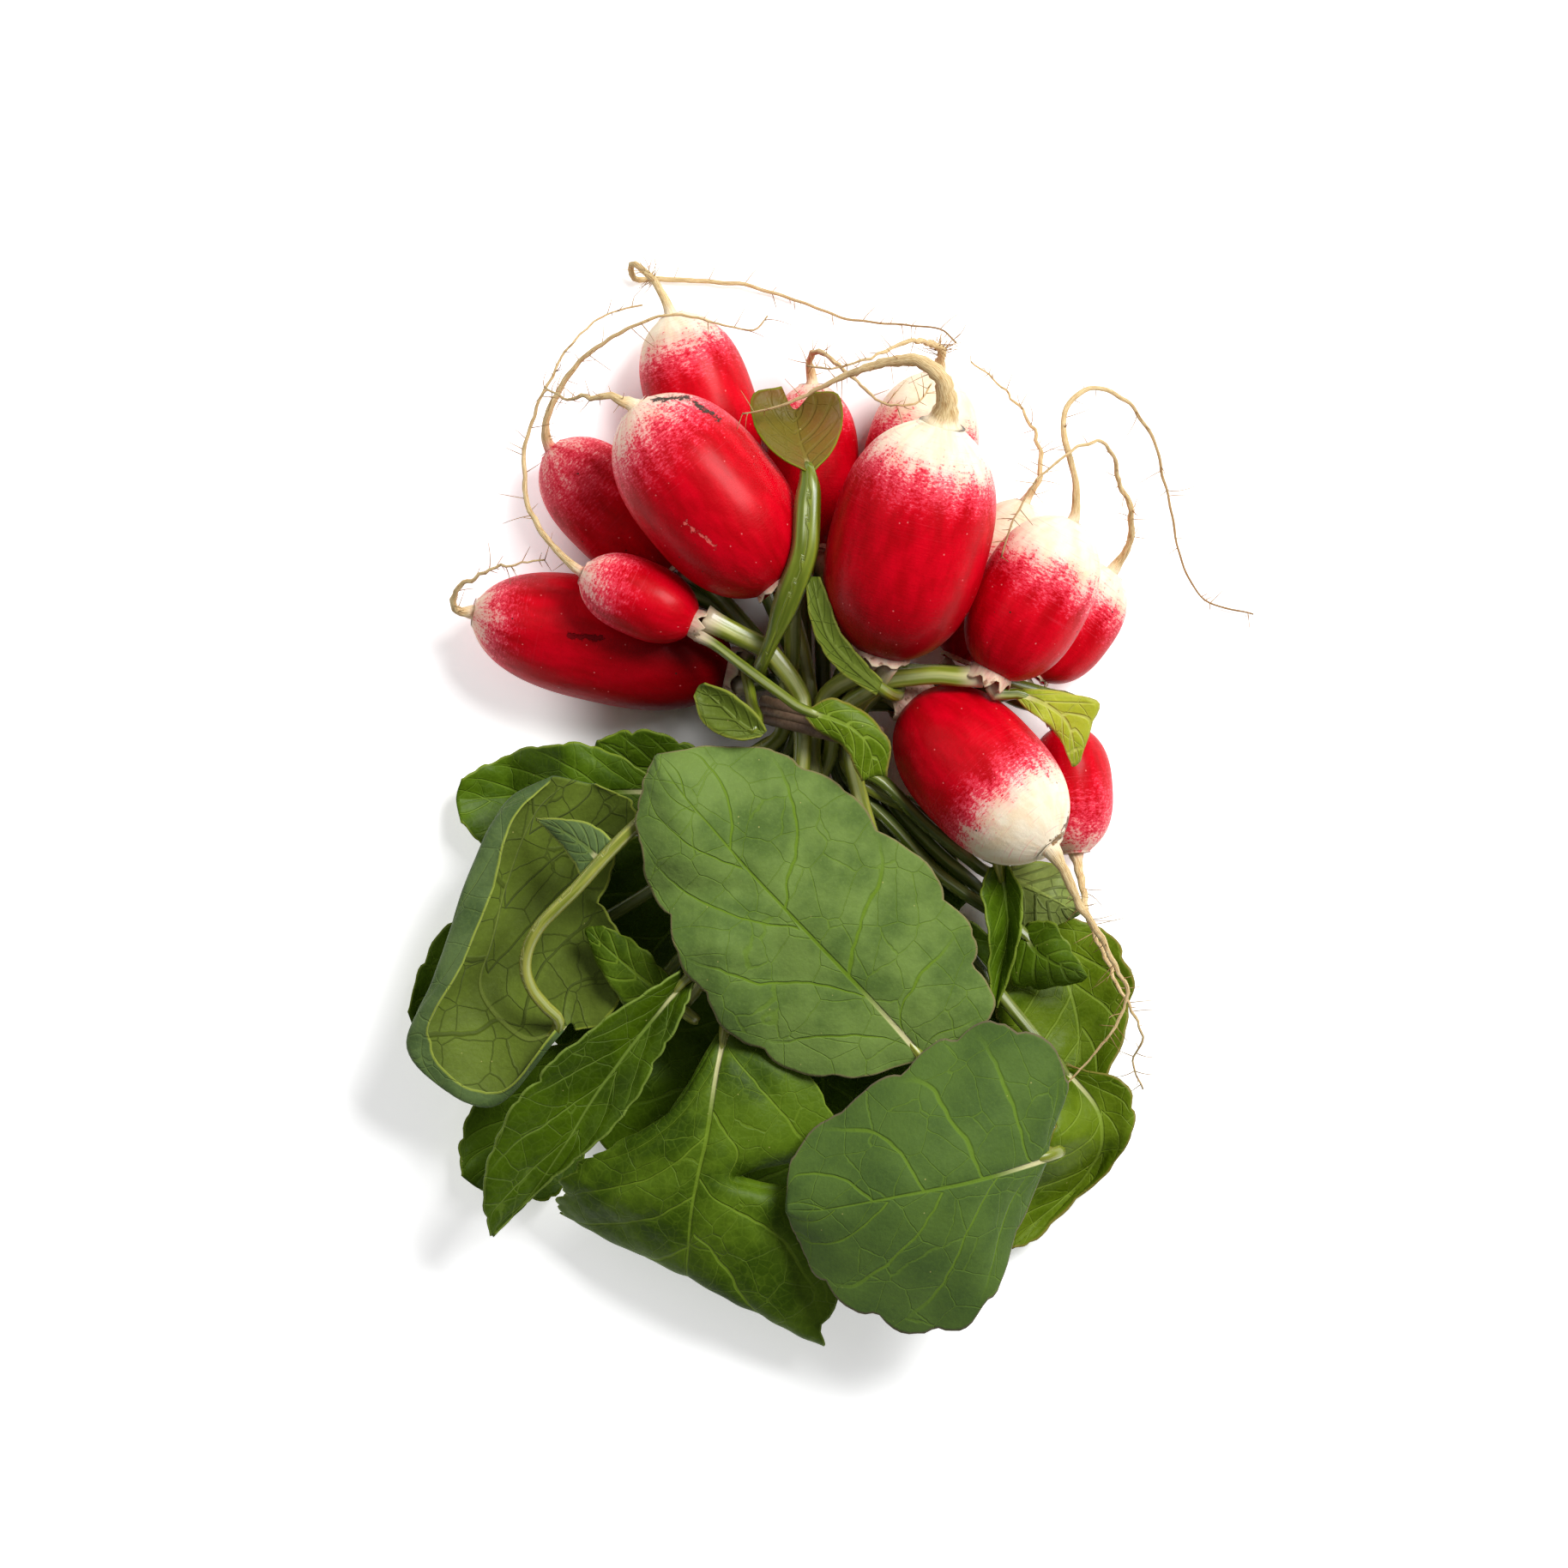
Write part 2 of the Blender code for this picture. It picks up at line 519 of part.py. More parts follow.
class HeightField:
    """How high the heap reaches over each square millimetre of the table."""

    def __init__(self):
        self.shape = tuple(h - l + 1 for l, h in zip(FIELD_LOW, FIELD_HIGH))
        self.top = np.zeros(self.shape)
        axes = (np.arange(l, h + 1) for l, h in zip(FIELD_LOW, FIELD_HIGH))
        self.x, self.y = np.meshgrid(*axes, indexing="ij")

    def envelope(self, points, triangles, highest):
        """Highest or lowest z of the triangles over each cell, or infinite where there is none."""
        sign = 1 if highest else -1
        out = np.full(self.shape, -np.inf)
        for tri in points[triangles]:
            low = np.maximum(np.floor(tri[:, :2].min(0) - FIELD_LOW).astype(int), 0)
            high = np.ceil(tri[:, :2].max(0) - FIELD_LOW).astype(int) + 1
            span = (slice(low[0], high[0]), slice(low[1], high[1]))
            u, v = tri[1] - tri[0], tri[2] - tri[0]
            area = u[0] * v[1] - u[1] * v[0]
            if abs(area) < 1e-9:
                continue
            x, y = self.x[span] - tri[0, 0], self.y[span] - tri[0, 1]
            a = (x * v[1] - y * v[0]) / area
            b = (u[0] * y - u[1] * x) / area
            inside = (a > -0.15) & (b > -0.15) & (a + b < 1.15)
            z = np.clip(tri[0, 2] + a * u[2] + b * v[2], tri[:, 2].min(), tri[:, 2].max())
            out[span] = np.maximum(out[span], np.where(inside, sign * z, -np.inf))
        return sign * out

    def sample(self, field, x, y):
        """The field between its cells."""
        fx = np.clip(np.asarray(x) - FIELD_LOW[0], 0, self.shape[0] - 1.001)
        fy = np.clip(np.asarray(y) - FIELD_LOW[1], 0, self.shape[1] - 1.001)
        ix, iy = fx.astype(int), fy.astype(int)
        ax, ay = fx - ix, fy - iy
        near = field[ix, iy] * (1 - ax) + field[ix + 1, iy] * ax
        far = field[ix, iy + 1] * (1 - ax) + field[ix + 1, iy + 1] * ax
        return near * (1 - ay) + far * ay

    def rise(self, points, triangles):
        """How far each place has to rise for the sheet to clear the heap, smoothly."""
        low = self.envelope(points, triangles, False)
        need = np.where(np.isfinite(low), np.maximum(self.top + BLADE_CLEARANCE - low, 0), 0)
        reach = range(-FIELD_REACH, FIELD_REACH + 1)
        blur = range(-FIELD_BLUR, FIELD_BLUR + 1)
        for axis in (0, 1):
            need = np.max([np.roll(need, k, axis) for k in reach], axis=0)
        for axis in (0, 1):
            need = np.mean([np.roll(need, k, axis) for k in blur], axis=0)
        return need

    def add_sheet(self, points, triangles):
        high = self.envelope(points, triangles, True) + BLADE_THICKNESS / 2
        self.top = np.where(np.isfinite(high), np.maximum(self.top, high), self.top)

    def add_rod(self, points, radius):
        for x, y, z in points:
            near = (self.x - x) ** 2 + (self.y - y) ** 2 < (radius + 0.7) ** 2
            self.top = np.where(near, np.maximum(self.top, z + radius), self.top)


def sheaf_top(x, y):
    """Top of the stalks behind the band, over which the high blades lie."""
    back = np.maximum(-np.asarray(y, float), 0)
    across = (np.asarray(x, float) - BAND_CENTRE[0] * np.exp(-back / 30)) / (15 + 0.5 * back)
    height = 31.5 - 0.13 * back - 9 * across**2
    return np.where((np.asarray(y) < 5) & (back < 78) & (np.abs(across) < 1.15), height, 0)


def laid_blades():
    """Every leaf laid on the heap: its grids, what its stalk passes, and the low blades' field."""
    field = HeightField()
    grids = {}
    routes = {}

    def lay(leaf):
        rows = 2 * leaf.teeth
        points = leaf_surface(leaf, rows, leaf.across)
        triangles = grid_triangles(rows, leaf.across)
        rise = field.rise(points.reshape(-1, 3), triangles)
        sheets = [points]
        if leaf.lobe:
            sheets.append(blade_surface(leaf.lobe, 2, 0.0, (0.2, 1, 0), 4, 2))
        after = np.array(leaf.after, float).reshape(-1, 3)
        for block in (*sheets, after):
            block[..., 2] += field.sample(rise, block[..., 0], block[..., 1])
        field.add_sheet(points.reshape(-1, 3), triangles)
        if leaf.after:
            field.add_rod(smooth_path([*after, points[0].mean(0)], 1.0), leaf.stalk / 2)
        grids[leaf.name] = sheets
        routes[leaf.name] = after

    for leaf in LOW_LEAVES:
        lay(leaf)
    low_top = field.top.copy()
    field.top = np.maximum(field.top, sheaf_top(field.x, field.y))
    for leaf in HIGH_LEAVES:
        lay(leaf)
    for leaf in SMALL_LEAVES:
        grids[leaf.name] = [leaf_surface(leaf, 2 * leaf.teeth, leaf.across)]
        routes[leaf.name] = np.zeros((0, 3))
    return grids, routes, low_top


def band_slot(leaf):
    """Where the stalk passes the band."""
    return np.array(BAND_CENTRE) + (leaf.slot[0], 0, leaf.slot[1])


def stalk_starts(leaves):
    """Where each stalk leaves its crown, side by side, and the direction in which it sets out."""
    by_name = {radish.name: radish for radish in RADISHES}
    starts = {}
    for radish in by_name.values():
        crown, tip = np.array(radish.crown, float), np.array(radish.tip, float)
        out = (crown - tip) / np.linalg.norm(crown - tip)
        aside = np.cross(out, (0, 0, 1))
        aside /= np.linalg.norm(aside)

        def bearing(leaf):
            way = np.array(leaf.before[0] if leaf.before else band_slot(leaf) + (0, 8, 0)) - crown
            return way @ aside / np.linalg.norm(way)

        mates = sorted((leaf for leaf in leaves if leaf.radish == radish.name), key=bearing)
        places = [0.0]
        for one, other in zip(mates, mates[1:]):
            places.append(places[-1] + (one.stalk + other.stalk) / 2 + 0.45)
        for leaf, place in zip(mates, places):
            starts[leaf.name] = (crown + aside * (place - places[-1] / 2), out)
    return starts


def first_route(leaf, start, out, base, after):
    """A stalk's route before the stalks push each other aside."""
    points = [start + 0.9 * out, start + 3 * out, *leaf.before]
    if leaf.banded:
        slot = band_slot(leaf)
        points += [slot + (0, 8, 0), slot, slot + (0, -8, 0)]
    return smooth_path([*points, *after, base], STALK_STEP)


def bulb_balls():
    """Balls that fill the bulbs, for the stalks to stay clear of."""
    centres, radii, names = [], [], []
    for radish in RADISHES:
        crown, tip = np.array(radish.crown, float), np.array(radish.tip, float)
        size = radish.width / 2
        length = np.linalg.norm(tip - crown)
        for f in np.linspace(0.5 * size / length, 1 - 0.8 * size / length, 11):
            centres.append(crown + f * (tip - crown))
            radii.append(min(size * float(bulb_share(f)), 1.05 * f * length + 0.3))
            names.append(radish.name)
    return np.array(centres), np.array(radii), np.array(names)


def pushes(points, others, need, allowed):
    """How far each point is pushed by the others that are nearer than they need to be."""
    gap = points[:, None] - others[None]
    far = np.sqrt((gap**2).sum(-1)) + 1e-9
    push = np.where(allowed, np.maximum(need - far, 0), 0) / far
    count = np.maximum((push > 0).sum(1), 1)[:, None]
    return (gap * push[..., None]).sum(1), count


def relaxed_stalks(leaves, grids, routes, low_top):
    """Centre lines of all stalks, pushed apart where they would cross each other or a bulb."""
    field = HeightField()
    for axis in (0, 1):
        low_top = np.max([np.roll(low_top, k, axis) for k in (-2, -1, 0, 1, 2)], axis=0)
    starts = stalk_starts(leaves)
    chains = []
    for leaf in leaves:
        base = grids[leaf.name][0][0].mean(0) - ((0, 0, 4.5) if leaf.from_below else (0, 0, 0))
        chains.append(first_route(leaf, *starts[leaf.name], base, routes[leaf.name]))
    owner = np.concatenate([np.full(len(c), k) for k, c in enumerate(chains)])
    index = np.concatenate([np.arange(len(c)) for c in chains])
    place = np.concatenate([np.arange(len(c)) / (len(c) - 1) for c in chains])
    left = np.concatenate([len(c) - 1 - np.arange(len(c)) for c in chains])
    points = np.vstack(chains)
    leaf_of = [leaves[k] for k in owner]
    widths = np.array([leaf.stalk for leaf in leaf_of])
    radius = (widths + (STALK_END_WIDTH - widths).clip(max=0) * place) / 2
    banded = np.array([leaf.banded for leaf in leaf_of])
    low = np.array([leaf in LOW_LEAVES for leaf in leaf_of])
    led = np.zeros(len(points), bool)
    for k, leaf in enumerate(leaves):
        for guide in routes[leaf.name]:
            mine = np.flatnonzero(owner == k)
            led[mine[np.linalg.norm(points[mine] - guide, axis=1).argmin() :]] = True
            break
    fixed = (index < 2) | (place == 1) | led
    inner = np.flatnonzero(~fixed)
    balls, ball_radius, ball_names = bulb_balls()
    plants = np.array([leaf.radish for leaf in leaf_of])
    angle = np.linspace(0, 2 * math.pi, 24, endpoint=False)
    ring = (BAND_INSIDE[0] + BAND_STRAND) * np.cos(angle)
    height = (BAND_INSIDE[1] + BAND_STRAND) * np.sin(angle)
    ring = np.stack([ring, ring * math.tan(BAND_TURN), height], axis=1) + BAND_CENTRE
    ring_room = (BAND_STRAND + BAND_PITCH + radius + STALK_GAP)[:, None]
    clear_of_bulb = ~((plants[:, None] == ball_names[None]) & (index[:, None] < 2))
    apart = owner[:, None] != owner[None]
    room = radius[:, None] + radius[None] + STALK_GAP
    ball_room = ball_radius[None] + radius[:, None] + STALK_GAP
    centre = np.array(BAND_CENTRE)
    span = np.array([BAND_INSIDE[0], BAND_INSIDE[1]])[None] - radius[:, None] - 0.6
    for _ in range(RELAX_ROUNDS):
        pull = 0.5 * (points[inner - 1] + points[inner + 1]) - points[inner]
        points[inner] += STALK_STRAIGHTNESS * pull
        move, count = pushes(points, points, room, apart)
        shift = 0.42 * move / count**0.5
        move, count = pushes(points, balls, ball_room, clear_of_bulb)
        shift += move / count
        from_band = points[:, 1] - (points[:, 0] - centre[0]) * math.tan(BAND_TURN)
        move, count = pushes(points, ring, ring_room, (~banded | (np.abs(from_band) > 4))[:, None])
        shift += move / count
        points[inner] += shift[inner]
        off = (points[:, [0, 2]] - centre[[0, 2]]) / span
        size = np.linalg.norm(off, axis=1)
        squeeze = (np.abs(from_band) < BAND_HOLD) & banded & ~fixed & (size > 1)
        points[np.ix_(squeeze, [0, 2])] = (centre[[0, 2]] + off / size[:, None] * span)[squeeze]
        floor = field.sample(low_top, points[:, 0], points[:, 1]) + radius + 0.6
        free = ~fixed & ~(low & (left < 3))
        points[:, 2] = np.where(free, np.maximum(points[:, 2], floor), points[:, 2])
        roof = np.maximum(sheaf_top(points[:, 0], points[:, 1]) - radius - 0.5, floor)
        under = free & banded & (points[:, 1] < -5) & (sheaf_top(points[:, 0], points[:, 1]) > 0)
        points[:, 2] = np.where(under, np.minimum(points[:, 2], roof), points[:, 2])
    return {leaf.name: (points[owner == k], radius[owner == k]) for k, leaf in enumerate(leaves)}


def coloured(name, colour, roughness):
    """A plain finish for one kind of piece."""
    material = bpy.data.materials.get(name) or bpy.data.materials.new(name)
    material.use_nodes = True
    shader = material.node_tree.nodes["Principled BSDF"]
    shader.inputs["Base Color"].default_value = (*colour, 1)
    shader.inputs["Roughness"].default_value = roughness
    return material


def mesh_object(name, collection, mesh):
    obj = bpy.data.objects.new(name, mesh)
    collection.objects.link(obj)
    return obj


def evaluated_mesh(obj):
    """The object's mesh with its modifiers applied."""
    bpy.context.view_layer.update()
    graph = bpy.context.evaluated_depsgraph_get()
    return bpy.data.meshes.new_from_object(obj.evaluated_get(graph), depsgraph=graph)


def apply_modifiers(obj):
    mesh = evaluated_mesh(obj)
    obj.modifiers.clear()
    obj.data = mesh


def tube(name, collection, points, radii, cyclic=False):
    """A closed tube along the points, as a mesh whose caps are welded."""
    curve = bpy.data.curves.new(name, "CURVE")
    curve.dimensions = "3D"
    curve.bevel_depth = 1.0
    curve.bevel_resolution = 1
    curve.use_fill_caps = not cyclic
    spline_points = curve.splines.new("POLY")
    spline_points.points.add(len(points) - 1)
    spline_points.use_cyclic_u = cyclic
    for target, place, radius in zip(spline_points.points, points, radii):
        target.co = (*place, 1)
        target.radius = radius
    guide = bpy.data.objects.new(name, curve)
    collection.objects.link(guide)
    mesh = evaluated_mesh(guide)
    bpy.data.objects.remove(guide)
    bm = bmesh.new()
    bm.from_mesh(mesh)
    bmesh.ops.remove_doubles(bm, verts=bm.verts, dist=1e-4)
    bmesh.ops.recalc_face_normals(bm, faces=bm.faces)
    bm.to_mesh(mesh)
    bm.free()
    return mesh_object(name, collection, mesh)


def fuse(body, extras):
    """Fuses the extra solids into the body by one Boolean union."""
    helpers = bpy.data.collections.new(body.name + "_extras")
    bpy.context.scene.collection.children.link(helpers)
    for extra in extras:
        for user in list(extra.users_collection):
            user.objects.unlink(extra)
        helpers.objects.link(extra)
    union = body.modifiers.new("union", "BOOLEAN")
    union.operation = "UNION"
    union.operand_type = "COLLECTION"
    union.collection = helpers
    union.solver = "MANIFOLD"
    apply_modifiers(body)
    for extra in extras:
        bpy.data.objects.remove(extra)
    bpy.data.collections.remove(helpers)


def finish(obj, material):
    """Gives the piece its material and smooth shading with crisp edges."""
    obj.data.materials.clear()
    obj.data.materials.append(material)
    obj.data.shade_smooth()
    obj.data.set_sharp_from_angle(angle=math.radians(50))
    return obj


def bulb_frame(radish):
    """Moves the crown to its place and turns +Z towards the tip."""
    axis = (Vector(radish.tip) - Vector(radish.crown)).normalized()
    across = axis.cross(Vector((0, 0, 1))).normalized()
    turn = Matrix((-across, across.cross(axis), axis)).transposed()
    return Matrix.Translation(Vector(radish.crown)) @ turn.to_4x4()


def make_radish(radish, collection, material):
    """The turned bulb with its tail root, as one solid."""
    size = radish.width / 2
    length = (Vector(radish.tip) - Vector(radish.crown)).length
    profile = [(0, length), (TIP_SHARE * size, length)]
    profile += [(size * float(bulb_share(f)), f * length) for f in reversed(BULB_RINGS)]
    profile += [(NECK_SHARE * size, 0), (0, 0)]
    mesh = bpy.data.meshes.new(radish.name)
    mesh.from_pydata([(x, 0, z) for x, z in profile], [(k, k + 1) for k in range(len(profile) - 1)], [])
    obj = mesh_object(radish.name, collection, mesh)
    screw = obj.modifiers.new("turn", "SCREW")
    screw.steps = screw.render_steps = BULB_SIDES
    screw.use_merge_vertices = True
    screw.merge_threshold = 1e-4
    apply_modifiers(obj)
    frame = bulb_frame(radish)
    obj.data.transform(frame)
    tip = np.array(radish.tip, float)
    inward = (np.array(radish.crown) - tip) / length
    route = smooth_path([tip + inward * TAIL_SUNK, tip, *radish.tail], 1.6)
    share = np.linspace(0, 1, len(route))
    widths = TAIL_END_WIDTH + (radish.tail_width - TAIL_END_WIDTH) * (1 - share) ** 1.6
    keep = thinned(route, 0.5)
    fuse(obj, [tube(radish.name + "_tail", collection, route[keep], widths[keep] / 2)])
    for vertex in obj.data.vertices:
        vertex.co.z = max(vertex.co.z, 0)
    return finish(obj, material)


def thick_sheet(name, grid, collection):
    """A blade of even thickness over a grid of points."""
    rows, columns = grid.shape[0] - 1, grid.shape[1] - 1
    mesh = bpy.data.meshes.new(name)
    mesh.from_pydata(grid.reshape(-1, 3).tolist(), [], grid_triangles(rows, columns).tolist())
    sheet = mesh_object(name, collection, mesh)
    solid = sheet.modifiers.new("thickness", "SOLIDIFY")
    solid.thickness = BLADE_THICKNESS
    solid.offset = 0
    apply_modifiers(sheet)
    return sheet


def stalk_line(leaf, grid, stalk):
    """The stalk's centre line and radii, with its end sunk into the blade."""
    points, radius = stalk
    middle = grid.shape[1] // 2
    base = grid[0].mean(0)
    if leaf.from_below:
        ahead = grid[1, middle] - grid[0, middle]
        ahead /= np.linalg.norm(ahead)
        dip = 0.5 * (points[-1] + base) - 3.2 * ahead
        hook = smooth_path([points[-1], dip, base, base + 3 * ahead], 1.2)
    else:
        hook = np.array([points[-1], 0.4 * grid[0, middle] + 0.6 * grid[1, middle]])
    radii = np.concatenate([radius, np.full(len(hook) - 1, radius[-1])])
    return np.vstack([points, hook[1:]]), radii


def make_leaf(leaf, grids, stalk, collection, material):
    """A blade with its stalk fused to its base, as one solid."""
    blade, *lobes = [thick_sheet(f"{leaf.name}_{k}", grid, collection) for k, grid in enumerate(grids)]
    blade.name = leaf.name
    points, radius = stalk_line(leaf, grids[0], stalk)
    keep = thinned(points, 0.3)
    fuse(blade, [tube(leaf.name + "_stalk", collection, points[keep], radius[keep]), *lobes])
    return finish(blade, material)


def make_band(collection, material):
    """Turns of an elastic band, side by side and sunk into each other."""
    angle = np.linspace(0, 2 * math.pi, BAND_POINTS, endpoint=False)
    turns = []
    for k in range(BAND_TURNS):
        shift = (k - (BAND_TURNS - 1) / 2) * BAND_PITCH
        x = (BAND_INSIDE[0] + BAND_STRAND) * np.cos(angle)
        z = (BAND_INSIDE[1] + BAND_STRAND) * np.sin(angle)
        points = np.stack([x, shift + x * math.tan(BAND_TURN), z], axis=1) + BAND_CENTRE
        turns.append(tube(f"band_turn_{k}", collection, points, [BAND_STRAND] * BAND_POINTS, True))
    turns[0].name = "elastic_band"
    fuse(turns[0], turns[1:])
    return finish(turns[0], material)


def stand_on_origin(pieces, collection):
    """Turns millimetres to metres and puts the middle of the bunch's box on the origin."""
    points = np.vstack([np.array([v.co for v in piece.data.vertices]) for piece in pieces])
    low, high = points.min(0), points.max(0)
    middle = Vector(((low[0] + high[0]) / 2, (low[1] + high[1]) / 2, low[2]))
    bunch = bpy.data.objects.new("bunch", None)
    collection.objects.link(bunch)
    for piece in pieces:
        piece.data.transform(Matrix.Scale(MM, 4) @ Matrix.Translation(-middle))
        centre = sum((v.co for v in piece.data.vertices), Vector()) / len(piece.data.vertices)
        piece.data.transform(Matrix.Translation(-centre))
        piece.location = centre
        piece.parent = bunch


def main():
    for obj in list(bpy.data.objects):
        bpy.data.objects.remove(obj)
    collection = bpy.data.collections.new("bunch_of_radishes")
    bpy.context.scene.collection.children.link(collection)
    skin = coloured("radish_skin", (0.62, 0.01, 0.04), 0.35)
    green = coloured("leaf_green", (0.06, 0.16, 0.03), 0.5)
    elastic = coloured("band_rubber", (0.42, 0.25, 0.14), 0.6)
    leaves = (*LOW_LEAVES, *HIGH_LEAVES, *SMALL_LEAVES)
    grids, routes, low_top = laid_blades()
    stalks = relaxed_stalks(leaves, grids, routes, low_top)
    pieces = [make_radish(radish, collection, skin) for radish in RADISHES]
    pieces += [make_leaf(leaf, grids[leaf.name], stalks[leaf.name], collection, green) for leaf in leaves]
    pieces.append(make_band(collection, elastic))
    stand_on_origin(pieces, collection)


main()
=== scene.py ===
"""Looks of the bunch of French breakfast radishes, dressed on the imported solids.

The tables and the laying of the leaves are those of the solids' source, in millimetres: +X to the
right and +Y towards the tails, as seen from above, with the band over the point (0, 0) and the
table at z = 0. Each node gets one finer piece of the same form: turned bulbs that run out into
their hairy roots, blades with sunk veins and a thin rim, grooved stalks, papery crown scales and
the grooved strands of the band.
"""

import math
from typing import NamedTuple

import bpy
import numpy as np
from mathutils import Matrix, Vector


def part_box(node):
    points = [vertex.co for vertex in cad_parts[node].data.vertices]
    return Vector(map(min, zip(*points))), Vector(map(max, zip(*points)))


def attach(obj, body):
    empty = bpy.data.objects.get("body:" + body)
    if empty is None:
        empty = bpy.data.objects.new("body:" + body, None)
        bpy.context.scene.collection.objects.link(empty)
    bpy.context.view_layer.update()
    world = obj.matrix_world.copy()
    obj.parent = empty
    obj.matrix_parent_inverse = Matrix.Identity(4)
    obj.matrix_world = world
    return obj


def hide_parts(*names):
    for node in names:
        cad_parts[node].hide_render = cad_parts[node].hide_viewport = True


bl_info = {
    "name": "Bunch of Radishes",
    "version": (1, 0, 0),
    "blender": (4, 5, 0),
    "location": "3D View > Sidebar > Radishes",
    "description": "Dresses the packed bunch with skins, leaves, roots, scales and light",
    "category": "Object",
}

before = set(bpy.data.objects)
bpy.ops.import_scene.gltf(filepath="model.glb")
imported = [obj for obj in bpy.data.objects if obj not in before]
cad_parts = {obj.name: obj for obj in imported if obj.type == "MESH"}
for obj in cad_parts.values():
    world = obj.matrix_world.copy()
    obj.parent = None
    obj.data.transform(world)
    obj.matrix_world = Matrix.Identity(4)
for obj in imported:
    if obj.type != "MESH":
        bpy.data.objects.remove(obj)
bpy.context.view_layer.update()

MM = 0.001

# The photograph: its size, its scale, the ends of the sheaf of stalks in it and the pixel over the
# point (0, 0)
PHOTO_PIXELS = 1828
PIXELS_PER_MM = 6.0
SHEAF_ENDS = ((900, 640), (940, 1240))
BAND_PIXEL = (935, 845)

# Fineness of the dressed pieces
BULB_SIDES = 48
BULB_RINGS = 54
STALK_SIDES = 14
BAND_STEPS = 96
BAND_SIDES = 16
SCALE_GRID = (40, 7)
SCALE_THICKNESS = 0.18
ROOT_STEP = 1.1
ROOT_SWAY = 0.45
ROOT_END_WIDTH = 0.36
HAIR_SIDES = 3
HAIR_POINTS = 6
HAIRS = 24
HAIR_LENGTHS = (1.2, 5.5)
HAIR_RADII = (0.13, 0.05)
LEAF_CELL = 0.95
LEAF_THICKNESS = 0.35
ROUGH_GRID = (24, 12)
TOOTH_STEP = 4.6
VEIN_PAIRS = 5
VEIN_SLANT = 0.36
RIB_STEP = 1.5
SEED = 7

# The solids' own driving dimensions, in millimetres
BULB_BARREL = 2.6
NECK_SHARE = 0.36
BAND_CENTRE = (3.8, 0.0, 20.0)
BAND_INSIDE = (9.8, 11.0)
BAND_STRAND = 1.2
BAND_TURNS = 3
BAND_PITCH = 1.6
BAND_TURN = math.radians(-15)
BAND_HOLD = 6.2
BLADE_THICKNESS = 0.8
BLADE_CLEARANCE = 1.3
STALK_END_WIDTH = 2.4
STALK_GAP = 0.7
STALK_STEP = 2.4
STALK_STRAIGHTNESS = 0.22
RELAX_ROUNDS = 420
FIELD_LOW = (-110, -140)
FIELD_HIGH = (110, 110)
FIELD_REACH = 10
FIELD_BLUR = 5
LOBE_SHAPE = (2, 0.0, (0.2, 1, 0))

# The light and the camera, in metres and watts: where each soft box stands from the middle of the
# photograph, how long its sides are and its power
SOFT_BOXES = {
    "soft_box": ((0.66, 0.62, 1.05), 0.6, 25.5),
    "fill_box": ((-0.8, 0.55, 0.9), 1.0, 3.0),
}
ROOM_COLOUR = (1.0, 0.99, 0.99, 1)
ROOM_LIGHT = 0.16
CAMERA_CLIP = (0.1, 20.0)
PICTURE_HEIGHT = 0.02

# Painted light: the table glows a little, which lifts its shadows towards white, but not close to the
# sheaf of stalks, so that the gaps in the heap stay dark: it starts and is full so many millimetres
# from it
TABLE_GLOW = 0.5
GLOW_REACH = (32.0, 50.0)


class Radish(NamedTuple):
    """A bulb from its crown to its tip, and the points that its tail root passes."""

    name: str
    crown: tuple
    tip: tuple
    width: float
    tail: tuple
    tail_width: float = 2.6

    def axis(self):
        """The crown, the tip, the unit vector from one to the other and how far that is."""
        crown, tip = np.array(self.crown, float), np.array(self.tip, float)
        length = np.linalg.norm(tip - crown)
        return crown, tip, (tip - crown) / length, length


class Leaf(NamedTuple):
    """A blade spanned by lines that run from its base to its tip.

    The lines go from the blade's left edge to its right, seen from its upper side, and each has
    the same number of points. The stalk starts at the named radish. It passes the before points,
    the band at its slot (where it is banded) and the after points. A lobe is a small blade on the
    stalk.
    """

    name: str
    radish: str
    lines: tuple
    teeth: int = 4
    across: int = 4
    cut: float = 0.09
    wave: tuple = (1.0, 2.0, 0.0)
    stalk: float = 3.3
    slot: tuple = (0.0, 0.0)
    before: tuple = ()
    after: tuple = ()
    banded: bool = True
    from_below: bool = False
    lobe: tuple = ()


